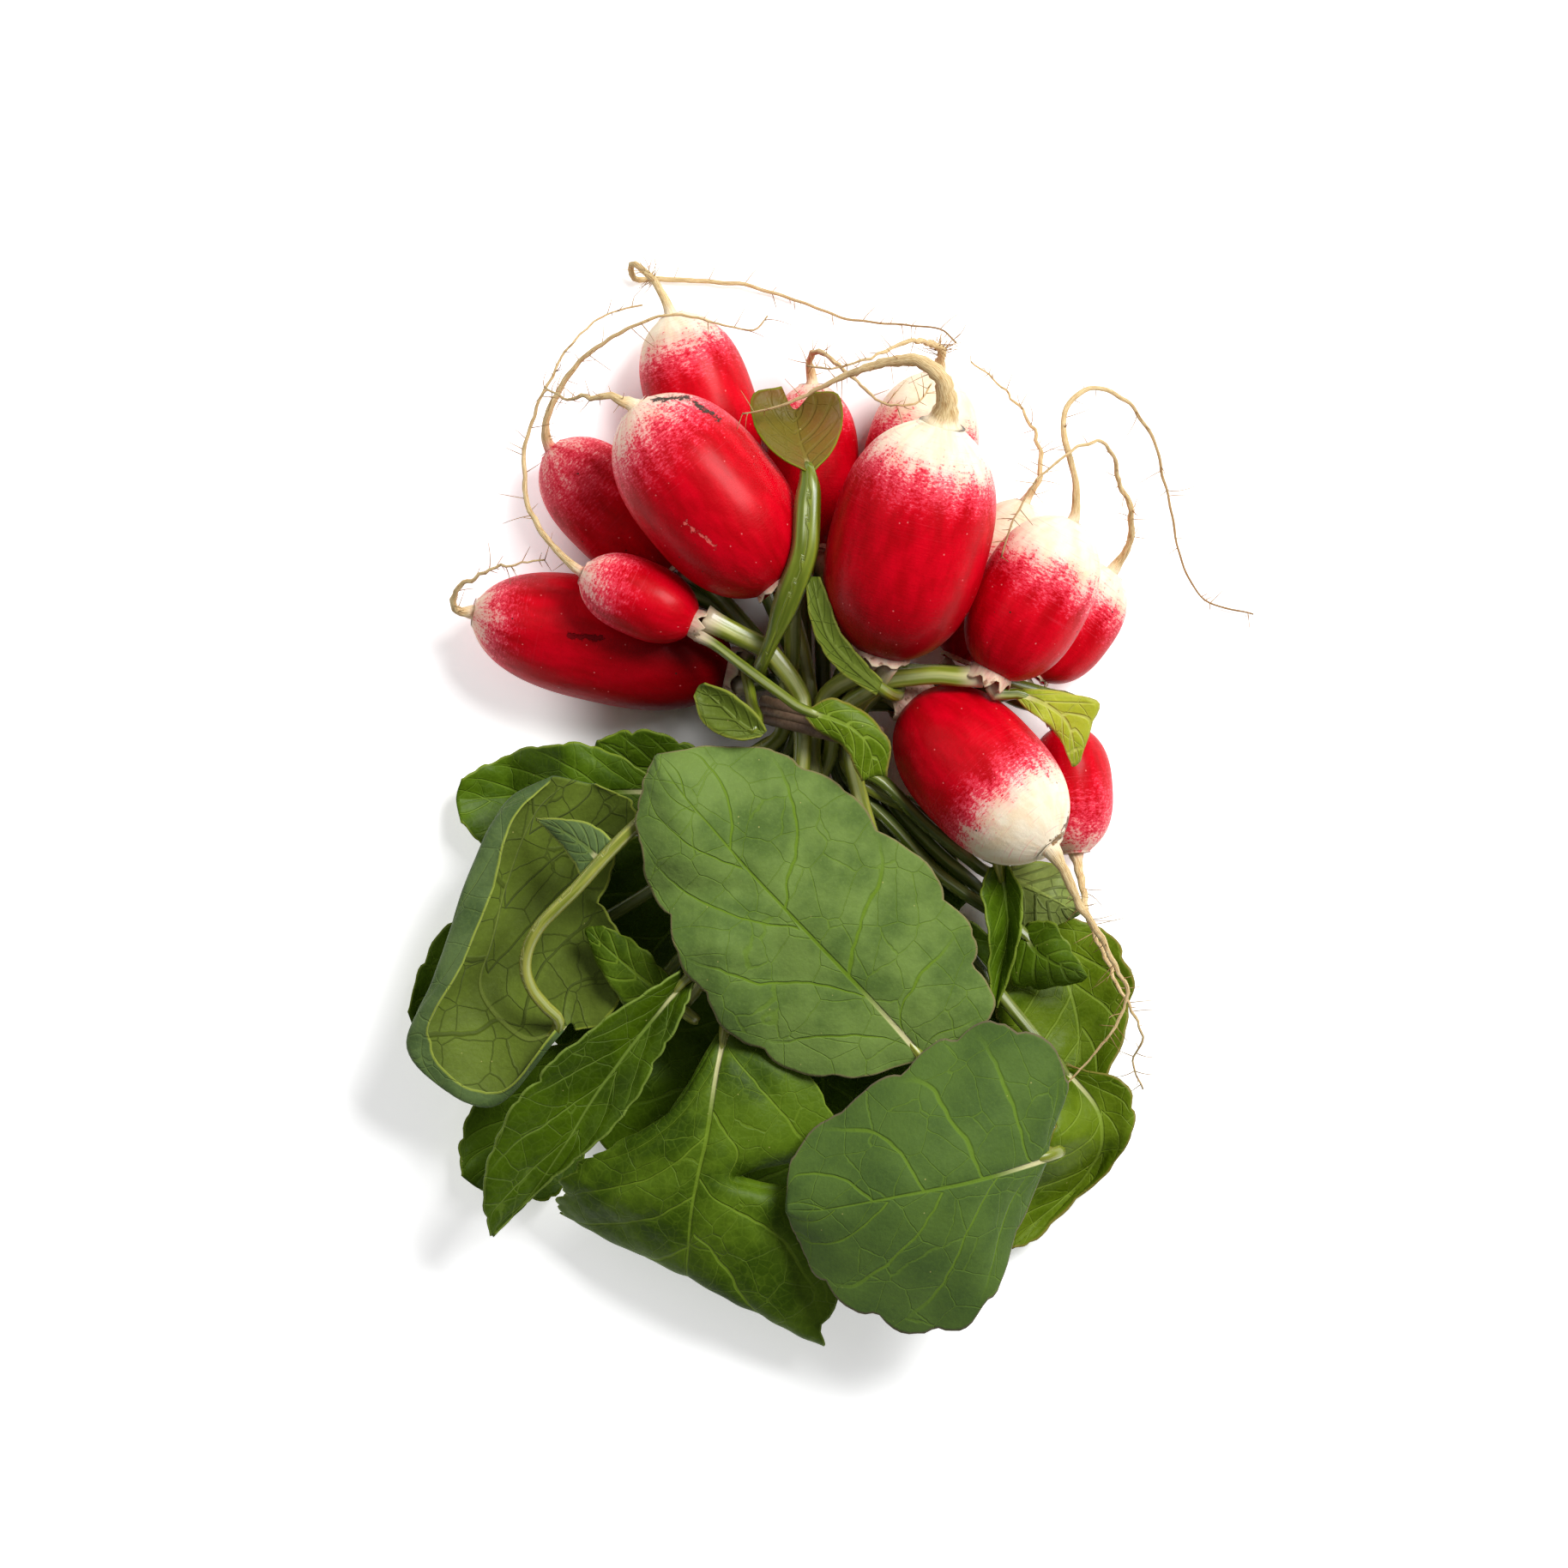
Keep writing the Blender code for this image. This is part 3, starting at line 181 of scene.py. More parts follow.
RADISHES = (
    Radish(
        "radish_back_left", (-14, 47, 10), (-25.5, 80, 10), 21,
        ((-27.5, 84.5, 9), (-30.5, 88.5, 6), (-33, 90, 4), (-33, 87.5, 2), (-27.5, 87.2, 1.5),
         (-14, 86.5, 1.5), (-1, 83, 1.5), (11, 79, 2), (21.5, 78, 5), (27.5, 77, 9), (30, 74.5, 12)),
    ),
    Radish(
        "radish_upper_left", (-4, 27, 32.5), (-32.5, 61.5, 33.5), 28,
        ((-36.5, 63.2, 34.5), (-41, 63.4, 33), (-46.5, 63.4, 29), (-50, 65.5, 26)),
        3.2,
    ),
    Radish(
        "radish_low_left", (-25, 30, 9.6), (-49, 54, 9.6), 20,
        ((-50, 58, 12), (-47, 65.5, 15.5), (-41, 72.5, 19), (-32.5, 77.5, 23), (-24, 79.5, 24.5),
         (-14.5, 77.5, 23), (-9, 76.8, 20), (-6.7, 79.5, 18.5)),
    ),
    Radish(
        "radish_small", (-20.5, 19.5, 29.5), (-42.5, 29.5, 28), 15,
        ((-48.5, 35, 25.5), (-53, 42, 22.5), (-54, 50.5, 21), (-52, 60.5, 20.5), (-49.5, 66, 20.5),
         (-45.5, 73, 20), (-40.5, 78.3, 17), (-35.5, 80.8, 14), (-31, 81.8, 13)),
        2.4,
    ),
    Radish(
        "radish_long", (-13.5, 10.8, 11.2), (-64, 22, 11.2), 24,
        ((-67, 22, 13), (-67.5, 25.5, 16.5), (-63, 29, 20), (-57, 31, 22), (-50, 32, 22.5)),
        2.8,
    ),
    Radish(
        "radish_back_middle", (2, 34.5, 8.6), (2, 66.5, 8.6), 18,
        ((1.5, 70.5, 11.5), (3, 72.5, 17.5), (6.5, 70.5, 22.5), (11, 66, 26.5), (17, 62, 28.5),
         (22.5, 62.5, 29.5), (25, 66, 28)),
    ),
    Radish(
        "radish_back_right", (19, 33.5, 11.5), (26.5, 68.5, 10.6), 22,
        ((27, 72.5, 14.5), (24, 74.5, 21), (18.5, 73.5, 27.5), (12, 70.5, 31), (5.5, 69, 31),
         (1, 69.5, 28.5)),
        3.0,
    ),
    Radish(
        "radish_largest", (15, 13, 32.5), (27, 58, 43), 31,
        ((27.8, 62.5, 45.5), (27, 66.5, 47.5), (23.5, 69.5, 47.5), (18, 70, 45), (11.5, 68.5, 42.5),
         (5.5, 66, 40), (-0.5, 63, 38), (-6, 61, 38), (-11.5, 60, 37.5)),
        4.6,
    ),
    Radish(
        "radish_under", (30, 12.5, 8.1), (43.5, 43.5, 8.1), 17,
        ((46, 47.5, 10), (46, 55.5, 8), (42.5, 62, 6), (37.5, 67.5, 4.5), (33, 71, 4)),
        2.2,
    ),
    Radish(
        "radish_right", (36.5, 9.5, 28.7), (52.5, 39.5, 29.3), 22,
        ((53, 45.5, 31), (51, 55.5, 32), (51, 61, 31), (55, 65, 28), (62.5, 63, 22),
         (68.3, 56, 15), (70.5, 47.5, 10), (73, 37.5, 6), (75, 30, 3), (78.5, 24.7, 1.4),
         (88.3, 21.7, 0.9)),
        2.4,
    ),
    Radish(
        "radish_far_right", (45, 9.5, 9), (60.5, 30, 8.1), 17,
        ((63.5, 34.5, 11), (64, 40, 16), (62, 46.5, 22), (60, 52.5, 29), (57, 54.5, 34),
         (51.5, 52.5, 38.5), (45, 46.7, 39.5), (40.5, 38.5, 39), (38.5, 32.5, 38)),
        2.6,
    ),
    Radish(
        "radish_lower_right", (21.5, 4.5, 18.6), (48, -24, 31), 26,
        ((50.5, -28, 31), (54.5, -36, 29), (59.5, -44.2, 27), (63, -52.5, 25), (61, -58, 24.5),
         (57, -63.5, 25), (51, -70, 26)),
        3.4,
    ),
    Radish(
        "radish_lower_back", (51.5, 0, 7.7), (53.5, -25, 7.7), 16,
        ((54.2, -29, 10.5), (55.3, -36, 15.5), (58, -43, 17), (61, -50, 18.5), (64.5, -56, 18),
         (66, -62, 15), (64.5, -65.5, 12), (66.5, -71, 9)),
        2.8,
    ),
)

# In the order in which they are laid on each other: those that lie on the table first, each
# after the ones that its own stalk passes over.
LOW_LEAVES = (
    Leaf(
        "leaf_under_bulb", "radish_back_right",
        (
            ((16.5, -11.5, 11), (23, -15, 11), (29, -22, 12), (32, -29.5, 12), (32.5, -34, 11)),
            ((15, -12.5, 11), (19, -18, 13), (24, -25, 14), (28.5, -31, 13), (31, -35.5, 11)),
            ((13.5, -13.5, 11), (13, -20, 12), (18, -28, 12), (24, -34, 12), (30, -37, 11)),
        ),
        teeth=6, wave=(0.6, 3, 0), slot=(2.4, -4.6),
    ),
    Leaf(
        "leaf_under_long", "radish_long",
        (
            ((-16, -11, 10), (-25, -15, 8), (-33, -16, 8), (-40, -11, 8)),
            ((-15, -9, 10), (-24, -9, 11), (-33, -8, 11), (-41, -7, 9)),
            ((-16, -7, 10), (-24, -2.5, 14), (-33, -0.5, 15), (-40, -3, 12)),
        ),
        teeth=3, slot=(-7.4, -0.8), before=((-8.8, 7.5, 11.5), (-5.6, 9, 14.5)),
    ),
    Leaf(
        "leaf_left_back", "radish_low_left",
        (
            ((-28, -14.5, 3), (-38, -22, 4), (-50, -27, 6), (-60, -25.5, 7), (-66.5, -19, 8)),
            ((-27, -13, 3), (-38, -13, 3), (-49, -13, 3), (-59, -14, 4), (-67.5, -14.5, 6)),
            ((-28, -11, 3), (-38, -4.5, 4), (-49, -3.2, 5), (-60, -6.5, 6), (-66.5, -10.5, 7)),
        ),
        slot=(-6, -4.4),
    ),
    Leaf(
        "leaf_middle_left", "radish_back_middle",
        (
            ((-11, -26, 5), (-10, -42, 5), (-17, -57, 5), (-29, -66, 5), (-42, -63, 5)),
            ((-12, -24, 5), (-20, -33, 4), (-29, -43, 3), (-38, -53, 3), (-44, -60, 4)),
            ((-14, -23, 5), (-28, -22, 5), (-41, -30, 5), (-47, -43, 5), (-46, -57, 5)),
        ),
        slot=(-3.8, -8),
    ),
    Leaf(
        "leaf_heart_right", "radish_back_right",
        (
            ((18, -36, 7), (32, -43, 6), (42, -55, 5), (47, -68, 5), (38, -80, 6)),
            ((16, -36, 7), (23, -46, 6), (29, -57, 6), (34, -69, 5), (35, -80, 5)),
            ((14, -37, 7), (13, -50, 8), (16, -62, 7), (22, -74, 6), (31, -81, 6)),
        ),
        slot=(3.8, -8),
    ),
    Leaf(
        "leaf_right_side", "radish_far_right",
        (
            ((42, -36.5, 3), (57, -38.5, 5), (64, -46, 8), (64.5, -55, 10), (60.5, -67, 9), (54, -76.5, 7)),
            ((41, -38, 3), (48, -43, 3), (52, -51, 3), (54, -60, 3), (53, -69, 4), (51, -76.5, 6)),
            ((39.5, -39.5, 4), (40, -47, 6), (41, -54, 7), (42, -62, 7), (44, -70, 6), (48, -76.5, 6)),
        ),
        teeth=5, wave=(1.8, 2.5, 0.2), slot=(7.4, -0.8),
    ),
    Leaf(
        "leaf_right_upper", "radish_lower_back",
        (
            ((39.5, -32, 11), (41, -39, 12), (45, -41, 13), (51, -38.5, 12)),
            ((39.5, -29.5, 11), (45, -32, 14), (49, -34, 15), (54, -37, 12)),
            ((41, -27, 11), (49, -26.5, 12), (53, -30.5, 12), (54.5, -36, 11)),
        ),
        teeth=3, slot=(5.8, 4.8),
    ),
    Leaf(
        "leaf_foot", "radish_back_middle",
        (
            ((5, -48, 2), (22, -60, 4), (27, -76, 6), (22, -92, 6), (6, -103, 5)),
            ((3, -48, 2), (4, -62, 2), (4, -76, 2), (2, -90, 2), (0, -103, 3)),
            ((1, -48, 2), (-19, -56, 4), (-32, -71, 6), (-28, -88, 6), (-9, -103, 5)),
        ),
        slot=(0, -8),
    ),
    Leaf(
        "leaf_left_low", "radish_low_left",
        (
            ((-46, -44, 3), (-52, -56, 5), (-60, -64, 6), (-68, -67, 6), (-74, -63, 6)),
            ((-45, -42, 3), (-54, -47, 3), (-62, -52, 3), (-69, -57, 3), (-75.5, -60, 5)),
            ((-46, -40, 3), (-57, -36, 5), (-67, -37, 6), (-74, -45, 6), (-77, -56, 6)),
        ),
        slot=(-3.8, -0.8),
    ),
    Leaf(
        "leaf_right_middle", "radish_lower_back",
        (
            ((44, -38.5, 12), (48.5, -37.8, 15), (51, -41, 15), (53.5, -45, 14), (55.3, -48.6, 12)),
            ((43, -40, 12), (45.5, -44, 14), (48.5, -46, 15), (52, -47.5, 14), (55.5, -49, 12)),
            ((42, -42, 12), (40, -49.5, 11), (44, -51.5, 9), (49, -51.2, 9), (54.5, -50, 10)),
        ),
        wave=(0.8, 2.5, 0.3), slot=(3.8, -0.8),
    ),
    Leaf(
        "leaf_bottom_left", "radish_back_left",
        (
            ((-37, -63, 3), (-40, -78, 5), (-46, -91, 6), (-54, -93, 6), (-62, -91, 6)),
            ((-38, -61, 3), (-46, -70, 3), (-53, -78, 3), (-59, -84, 4), (-64, -90, 5)),
            ((-39, -60, 3), (-53, -64, 5), (-62, -71, 6), (-67, -80, 6), (-66.5, -88, 6)),
        ),
        slot=(-2, -4.4),
    ),
    Leaf(
        "leaf_right_low", "radish_under",
        (
            ((51, -66, 4), (63, -69.5, 5), (65, -77, 6), (61, -86, 6),
             (54, -92.5, 6), (46, -100.5, 6), (41, -102.3, 6)),
            ((50, -66, 4), (57, -74, 3), (58.5, -81, 3), (56, -87, 3),
             (51, -92.5, 4), (45.5, -97, 5), (40.5, -101.5, 6)),
            ((49, -67, 5), (51.5, -75, 9), (53.5, -79, 11), (50.5, -83.5, 11),
             (46.5, -88, 10), (42.5, -93.5, 8), (39.5, -100, 7)),
        ),
        wave=(0.7, 2, 0), slot=(6.6, -4.6),
    ),
)

HIGH_LEAVES = (
    Leaf(
        "leaf_upright", "radish_lower_right",
        (
            ((40, -27, 16), (43, -33, 18), (42.5, -40, 18), (41, -47, 16), (38, -55, 13)),
            ((38.5, -27, 14), (39.5, -33, 13), (40, -40, 12), (38.8, -47, 12), (37.5, -55, 12)),
            ((36, -28, 16), (34.5, -33, 19), (36, -40, 19), (36, -47, 17), (37, -55, 13)),
        ),
        teeth=3, wave=(0.4, 2, 0), slot=(3.4, 2.8), from_below=True,
    ),
    Leaf(
        "leaf_left_cup", "radish_upper_left",
        (
            ((-44, -59.5, 14), (-37, -57, 15), (-34, -46, 17), (-37.5, -34, 17),
             (-35, -23, 17), (-31.5, -16, 17), (-40, -11.5, 15)),
            ((-45, -58, 14), (-47, -50, 13), (-48.5, -42, 12), (-48.5, -34, 12),
             (-47, -26, 12), (-44.5, -18, 13), (-42, -11.3, 14)),
            ((-47, -60, 16), (-60, -72.5, 18), (-74.5, -62, 21), (-70, -48, 22),
             (-65, -32, 22), (-57.5, -16, 20), (-48, -10, 17)),
            ((-48, -59, 17), (-60, -69.5, 21), (-68, -61, 25), (-64.5, -46, 26),
             (-60, -32, 26), (-56.5, -19, 23), (-49, -11, 18)),
        ),
        teeth=6, across=8, wave=(0.9, 2.5, 0.0), slot=(-6, 2.8),
        after=(
            (-22, -12, 30), (-31.7, -19.2, 31), (-43, -31, 30),
            (-53, -43, 27), (-53.5, -49, 24), (-50, -54.5, 20),
        ),
        lobe=(
            ((-43, -29.5, 29), (-44.5, -26.5, 28), (-47.5, -22.5, 26), (-51.5, -18.5, 24)),
            ((-39.5, -26, 29.5), (-42, -23.5, 29), (-46.5, -20.5, 27), (-51.6, -18.3, 24)),
            ((-36.5, -22.5, 30), (-40, -19.5, 29), (-45, -18.3, 27), (-51.5, -18.1, 24)),
        ),
    ),
    Leaf(
        "leaf_inner", "radish_back_left",
        (
            ((-24, -57, 16), (-32, -56.5, 16), (-38, -50, 16), (-41.5, -42, 16)),
            ((-23, -55.5, 16), (-30, -50, 17), (-36, -45, 17), (-42, -39.5, 16)),
            ((-22, -54, 16), (-27, -47, 18), (-32, -42, 18), (-38.5, -39, 17)),
        ),
        teeth=3, slot=(0, -0.8), from_below=True,
    ),
    Leaf(
        "leaf_bottom", "radish_largest",
        (
            ((-13.5, -60, 24), (2, -67, 24), (6, -82, 22), (-11, -87.5, 20), (6, -92, 19),
             (8, -106, 17), (5, -121, 13), (2, -114, 6), (-4, -106, 5)),
            ((-15, -59.5, 24), (-17, -70, 27), (-18.5, -80, 27), (-20.3, -88, 25), (-21.5, -95, 23),
             (-22, -101, 20), (-22.2, -107.3, 15), (-19, -104, 8), (-15, -97, 6)),
            ((-16.5, -60, 24), (-26, -75, 24), (-37, -81.5, 22), (-44, -85, 19), (-47.3, -88.5, 17),
             (-48, -92, 14), (-47.8, -94.8, 10), (-42, -96, 5), (-35, -95, 4)),
        ),
        teeth=7, across=6, wave=(1.0, 2, 0.2), slot=(-1.2, 2.8), from_below=True,
    ),
    Leaf(
        "leaf_narrow", "radish_small",
        (
            ((-20.7, -49.5, 32), (-23, -56.5, 34), (-28, -65.5, 33), (-33.5, -75, 31),
             (-42, -83.3, 28), (-51.5, -91, 23), (-60, -99.5, 19)),
            ((-22, -49, 31), (-28, -56, 31), (-34, -63.5, 30), (-40.5, -72.5, 28),
             (-46, -81.5, 26), (-53, -91.5, 22), (-60.2, -99.2, 19)),
            ((-23.5, -47.5, 34), (-33, -53.3, 36), (-43, -60.3, 36), (-52, -68.5, 34),
             (-59, -78.5, 31), (-62.2, -90.5, 26), (-60.7, -99.3, 19)),
        ),
        teeth=6, cut=0.05, wave=(0.6, 2, 0.0), stalk=4.2, slot=(1.5, 9), from_below=True,
        before=((-16, 17.5, 32), (-8, 13, 33.5), (1, 8.5, 32)),
    ),
    Leaf(
        "leaf_oval", "radish_largest",
        (
            ((21.5, -65.5, 25), (7, -69, 24), (-9, -64, 25), (-20, -53, 27),
             (-27, -38, 29), (-32, -24, 30), (-31.5, -13, 31), (-28.5, -6.3, 32)),
            ((23, -64, 25), (14.5, -54.5, 29), (6, -45.5, 32), (-2.5, -36.5, 34),
             (-10.5, -28, 35), (-17.5, -20, 35), (-23.5, -13, 34), (-28.3, -6, 33)),
            ((24.5, -63.5, 25), (37, -58, 26), (35.5, -47, 27), (30, -33.5, 28),
             (17, -20, 30), (1, -7.2, 31), (-14, -3.8, 31), (-28, -5.8, 32)),
        ),
        teeth=7, across=6, wave=(0.8, 2, 0.0), stalk=3.8, slot=(-3.2, 6.4), from_below=True,
    ),
    Leaf(
        "leaf_fan", "radish_right",
        (
            ((46.8, -86, 26), (41.5, -99.5, 25), (36, -113.5, 24), (26, -119, 23),
             (14, -116, 24), (4.5, -109.5, 25), (-0.5, -101, 26), (-3, -94.5, 28)),
            ((47.5, -84.2, 27), (40, -86.5, 31), (32.5, -88.5, 34), (25, -90, 35),
             (17, -91.5, 35), (9.5, -93, 33), (3, -94, 31), (-3.2, -94, 29)),
            ((48, -80, 27), (51.7, -67, 29), (42, -57.5, 29), (30, -59, 28),
             (20, -65.5, 28), (8, -73.5, 28), (-1.5, -82.5, 28), (-3, -92, 28)),
        ),
        teeth=7, across=6, wave=(0.8, 2.5, 0.6), stalk=3.8, slot=(4.4, 6.4), from_below=True,
    ),
)

SMALL_LEAVES = (
    Leaf(
        "leaf_heart", "radish_long",
        (
            ((0.5, 49, 40), (-5, 52, 39), (-9.5, 58, 35), (-9.5, 64, 32), (-4, 65.5, 31)),
            ((1.5, 49, 39), (0.5, 52, 36.5), (-0.5, 55, 34), (-1, 58, 32), (-1.5, 61, 31)),
            ((2.5, 49, 39), (6, 53, 35), (8, 58.5, 32), (7, 64, 31), (2, 64.5, 31)),
        ),
        teeth=2, cut=0.02, wave=(0.2, 1, 0), stalk=2.6, banded=False,
        before=(
            (-8.5, 9.2, 13), (-4.8, 9.5, 19), (-3.8, 9.5, 29), (-3.5, 9.5, 37),
            (-3.8, 18, 41), (-3.6, 30, 45), (-1, 41, 43.5),
        ),
    ),
    Leaf(
        "leaf_strap", "radish_lower_right",
        (
            ((15.5, 8.6, 36), (11, 13.5, 38.7), (7.2, 18.5, 40), (5.5, 23.5, 40), (3.5, 28.5, 39)),
            ((15, 7, 36), (9.5, 11.5, 38.5), (5.3, 16.5, 39.5), (3.3, 22.3, 39.5), (2, 28.5, 38.5)),
            ((14.3, 5.6, 36), (7.8, 9.7, 38.3), (3.4, 15, 39.5), (1.2, 21.5, 39.5), (0.7, 28, 38.5)),
        ),
        teeth=2, across=2, cut=0.0, wave=(0.2, 1, 0), stalk=2.4, banded=False,
        before=((19, 7.2, 22), (18.2, 7.3, 28),),
    ),
    Leaf(
        "leaf_thin_stalk", "radish_small",
        (
            ((1.5, 3.2, 38), (6, 5.3, 38), (12, 2.5, 37.5), (17, -3, 36.5), (16.5, -10, 35.5)),
            ((1, 2.2, 38), (5, 1.4, 38.5), (9.8, -0.8, 38), (13, -4.5, 37), (14, -10, 35.5)),
            ((0.5, 1.2, 38), (3.5, -1.8, 37.5), (7.5, -4, 37), (9.5, -7.5, 36.5), (11.5, -11, 35.5)),
        ),
        teeth=3, across=4, stalk=2.0, wave=(0.6, 1.5, 0), banded=False,
        before=((-17.5, 16.5, 33), (-13, 11, 36.5), (-9, 6.8, 38), (-4, 3.6, 38.3)),
    ),
    Leaf(
        "leaf_folded", "radish_long",
        (
            ((-6.8, -1.2, 34.6), (-8.5, 1.7, 36), (-13.5, 6, 36.5), (-18.8, 8, 35)),
            ((-7.4, -1.8, 34.2), (-11, -0.5, 34.3), (-16, 4, 34), (-20, 7.5, 33.5)),
            ((-8, -2.4, 34.6), (-13, -3, 35), (-19, 0, 34.5), (-21, 5.5, 34)),
        ),
        teeth=2, across=2, cut=0.0, wave=(0.2, 1, 0), stalk=2.2, banded=False,
        before=((-9.8, 13, 14), (-8.8, 13, 21), (-8.6, 9, 29), (-8, 4.5, 33.9), (-7.4, 0.5, 34.6)),
    ),
    Leaf(
        "leaf_torn", "radish_right",
        (
            ((43, 7, 27), (50, 6.5, 28), (57.5, 4.5, 27), (56, -1, 26), (54, -7, 24)),
            ((42, 6, 27), (47, 4, 28), (51, 1, 27), (52.5, -3, 26), (53, -8, 24)),
            ((41.5, 5, 27), (44.5, 2, 28), (48, -0.5, 27), (50.5, -4, 26), (52.3, -8, 24)),
        ),
        teeth=3, across=2, stalk=2.2, wave=(0.7, 2, 0.3), banded=False,
        before=((38.5, 5.8, 26.3),),
    ),
)


# Lines that are drawn finer than on the solids: the cup's fold narrows towards its tip, and the
# low leaves reach further under the ones above them
FINE_LINES = {
    "leaf_left_cup": {
        3: ((-48, -59.3, 17), (-60, -72.0, 20), (-73, -62, 23.5), (-66, -46.5, 26),
            (-60, -32, 26), (-56.5, -19, 23), (-49, -11, 18)),
    },
    "leaf_right_low": {
        2: ((49, -67, 5), (48, -75, 9), (48.5, -79, 11), (46.5, -83.5, 11),
            (44, -88, 10), (41.5, -93.5, 8), (39.5, -100, 7)),
    },
    "leaf_foot": {
        2: ((-2, -46, 2), (-26, -53, 4), (-39, -70, 6), (-38, -85, 6), (-12, -101, 5)),
    },
    "leaf_middle_left": {
        0: ((-8, -26, 5), (-6, -42, 5), (-13, -59, 5), (-28, -69, 5), (-43, -66, 5)),
        1: ((-12, -24, 5), (-20, -33, 4), (-29, -44, 3), (-39, -55, 3), (-47, -63, 4)),
        2: ((-14, -23, 5), (-28, -20, 5), (-44, -29, 5), (-51, -43, 5), (-51, -59, 5)),
    },
    "leaf_heart_right": {
        0: ((18, -34, 7), (37, -40, 6), (46, -54, 5), (49, -68, 5), (40, -80, 6)),
    },
    "leaf_right_side": {
        2: ((37, -39.5, 4), (36, -47, 6), (37, -54, 7), (39, -62, 7), (42, -70, 6), (48, -76.5, 6)),
    },
}


class BulbLook(NamedTuple):
    """Where the skin turns white, as a share of the bulb's length, how long its scales are, and
    how far the red breaks up into specks."""

    white_from: float
    scales: float = 2.0
    spread: float = 1.0


BULB_LOOKS = {
    "radish_back_left": BulbLook(0.80),
    "radish_upper_left": BulbLook(0.88, spread=1.4),
    "radish_low_left": BulbLook(0.98, spread=2.4),
    "radish_small": BulbLook(0.90, 5.0, 1.4),
    "radish_long": BulbLook(0.94, 4.0),
    "radish_back_middle": BulbLook(0.90),
    "radish_back_right": BulbLook(0.68),
    "radish_largest": BulbLook(0.82),
    "radish_under": BulbLook(0.60),
    "radish_right": BulbLook(0.68, 5.0),
    "radish_far_right": BulbLook(0.74),
    "radish_lower_right": BulbLook(0.70, 6.0),
    "radish_lower_back": BulbLook(0.86, spread=1.7),
}

# Scars of the skin: from and to which pixel of the photograph, the least height above the table
# and half the width, both in millimetres, and the colour
SKIN_SCARS = (
    ((762, 469), (802, 466), 34.5, 0.40, (58, 42, 30)),
    ((802, 466), (838, 492), 34.5, 0.40, (58, 42, 30)),
    ((800, 612), (834, 640), 34.5, 0.34, (226, 96, 90)),
    ((1252, 936), (1240, 970), 27.0, 0.42, (112, 76, 54)),
    ((1240, 970), (1226, 982), 27.0, 0.42, (150, 120, 84)),
    ((664, 742), (702, 744), 20.8, 0.50, (126, 4, 14)),
)

# Radishes whose root is tangled: how far from the tip, over what length and with how many hairs
TANGLED_ROOTS = {
    "radish_back_right": (5.0, 4.5, 46),
    "radish_back_left": (8.0, 3.0, 18),
    "radish_far_right": (9.0, 8.0, 12),
}

LEAF_LOOKS = {
    "leaf_oval": "velvet",
    "leaf_fan": "blue",
    "leaf_narrow": "narrow",
    "leaf_bottom": "dark",
    "leaf_inner": "dark",
    "leaf_strap": "seed_leaf",
    "leaf_folded": "seed_leaf",
    "leaf_left_cup": "cup",
    "leaf_heart": "olive",
    "leaf_right_side": "young",
    "leaf_right_low": "young",
    "leaf_thin_stalk": "young",
    "leaf_torn": "lime",
    "leaf_upright": "middle",
}

# How deep the veins and the bulges between them are, in millimetres
LEAF_RELIEF = {
    "leaf_oval": 0.40,
    "leaf_fan": 0.40,
    "leaf_under_bulb": 0.9,
    "leaf_bottom": 0.7,
    "leaf_middle_left": 0.7,
}
PLAIN_RELIEF = 0.45
LOBE_RELIEF = 0.2
SMALL_RELIEF = 0.15


def srgb(red, green, blue):
    """A colour as seen on screen, 0 to 255, made linear."""
    return tuple(c / 255 / 12.92 if c < 11 else ((c / 255 + 0.055) / 1.055) ** 2.4
                 for c in (red, green, blue))


def scaled(colour, by):
    return tuple(by * c for c in colour)


class Mask:
    """A number that varies over a surface. Maths on it adds Math nodes."""

    def __init__(self, finish, socket):
        self.finish, self.socket = finish, socket

    def math(self, operation, *values):
        node = self.finish.node("ShaderNodeMath", {"operation": operation}, *values)
        return Mask(self.finish, node.outputs[0])

    def __add__(self, other):
        return self.math("ADD", self, other)

    def __radd__(self, other):
        return self.math("ADD", other, self)

    def __sub__(self, other):
        return self.math("SUBTRACT", self, other)

    def __rsub__(self, other):
        return self.math("SUBTRACT", other, self)

    def __mul__(self, other):
        return self.math("MULTIPLY", self, other)

    def __rmul__(self, other):
        return self.math("MULTIPLY", other, self)

    def __abs__(self):
        return self.math("ABSOLUTE", self)

    def least(self, other):
        return self.math("MINIMUM", self, other)

    def most(self, other):
        return self.math("MAXIMUM", self, other)

    def fraction(self):
        return self.math("FRACT", self)

    def step(self, low, high):
        """0 below low and 1 above high, smooth between them; falling where high is less."""
        settings = {"interpolation_type": "SMOOTHSTEP"}
        if low > high:
            node = self.finish.node("ShaderNodeMapRange", settings, self, high, low, 1.0, 0.0)
        else:
            node = self.finish.node("ShaderNodeMapRange", settings, self, low, high, 0.0, 1.0)
        return Mask(self.finish, node.outputs[0])


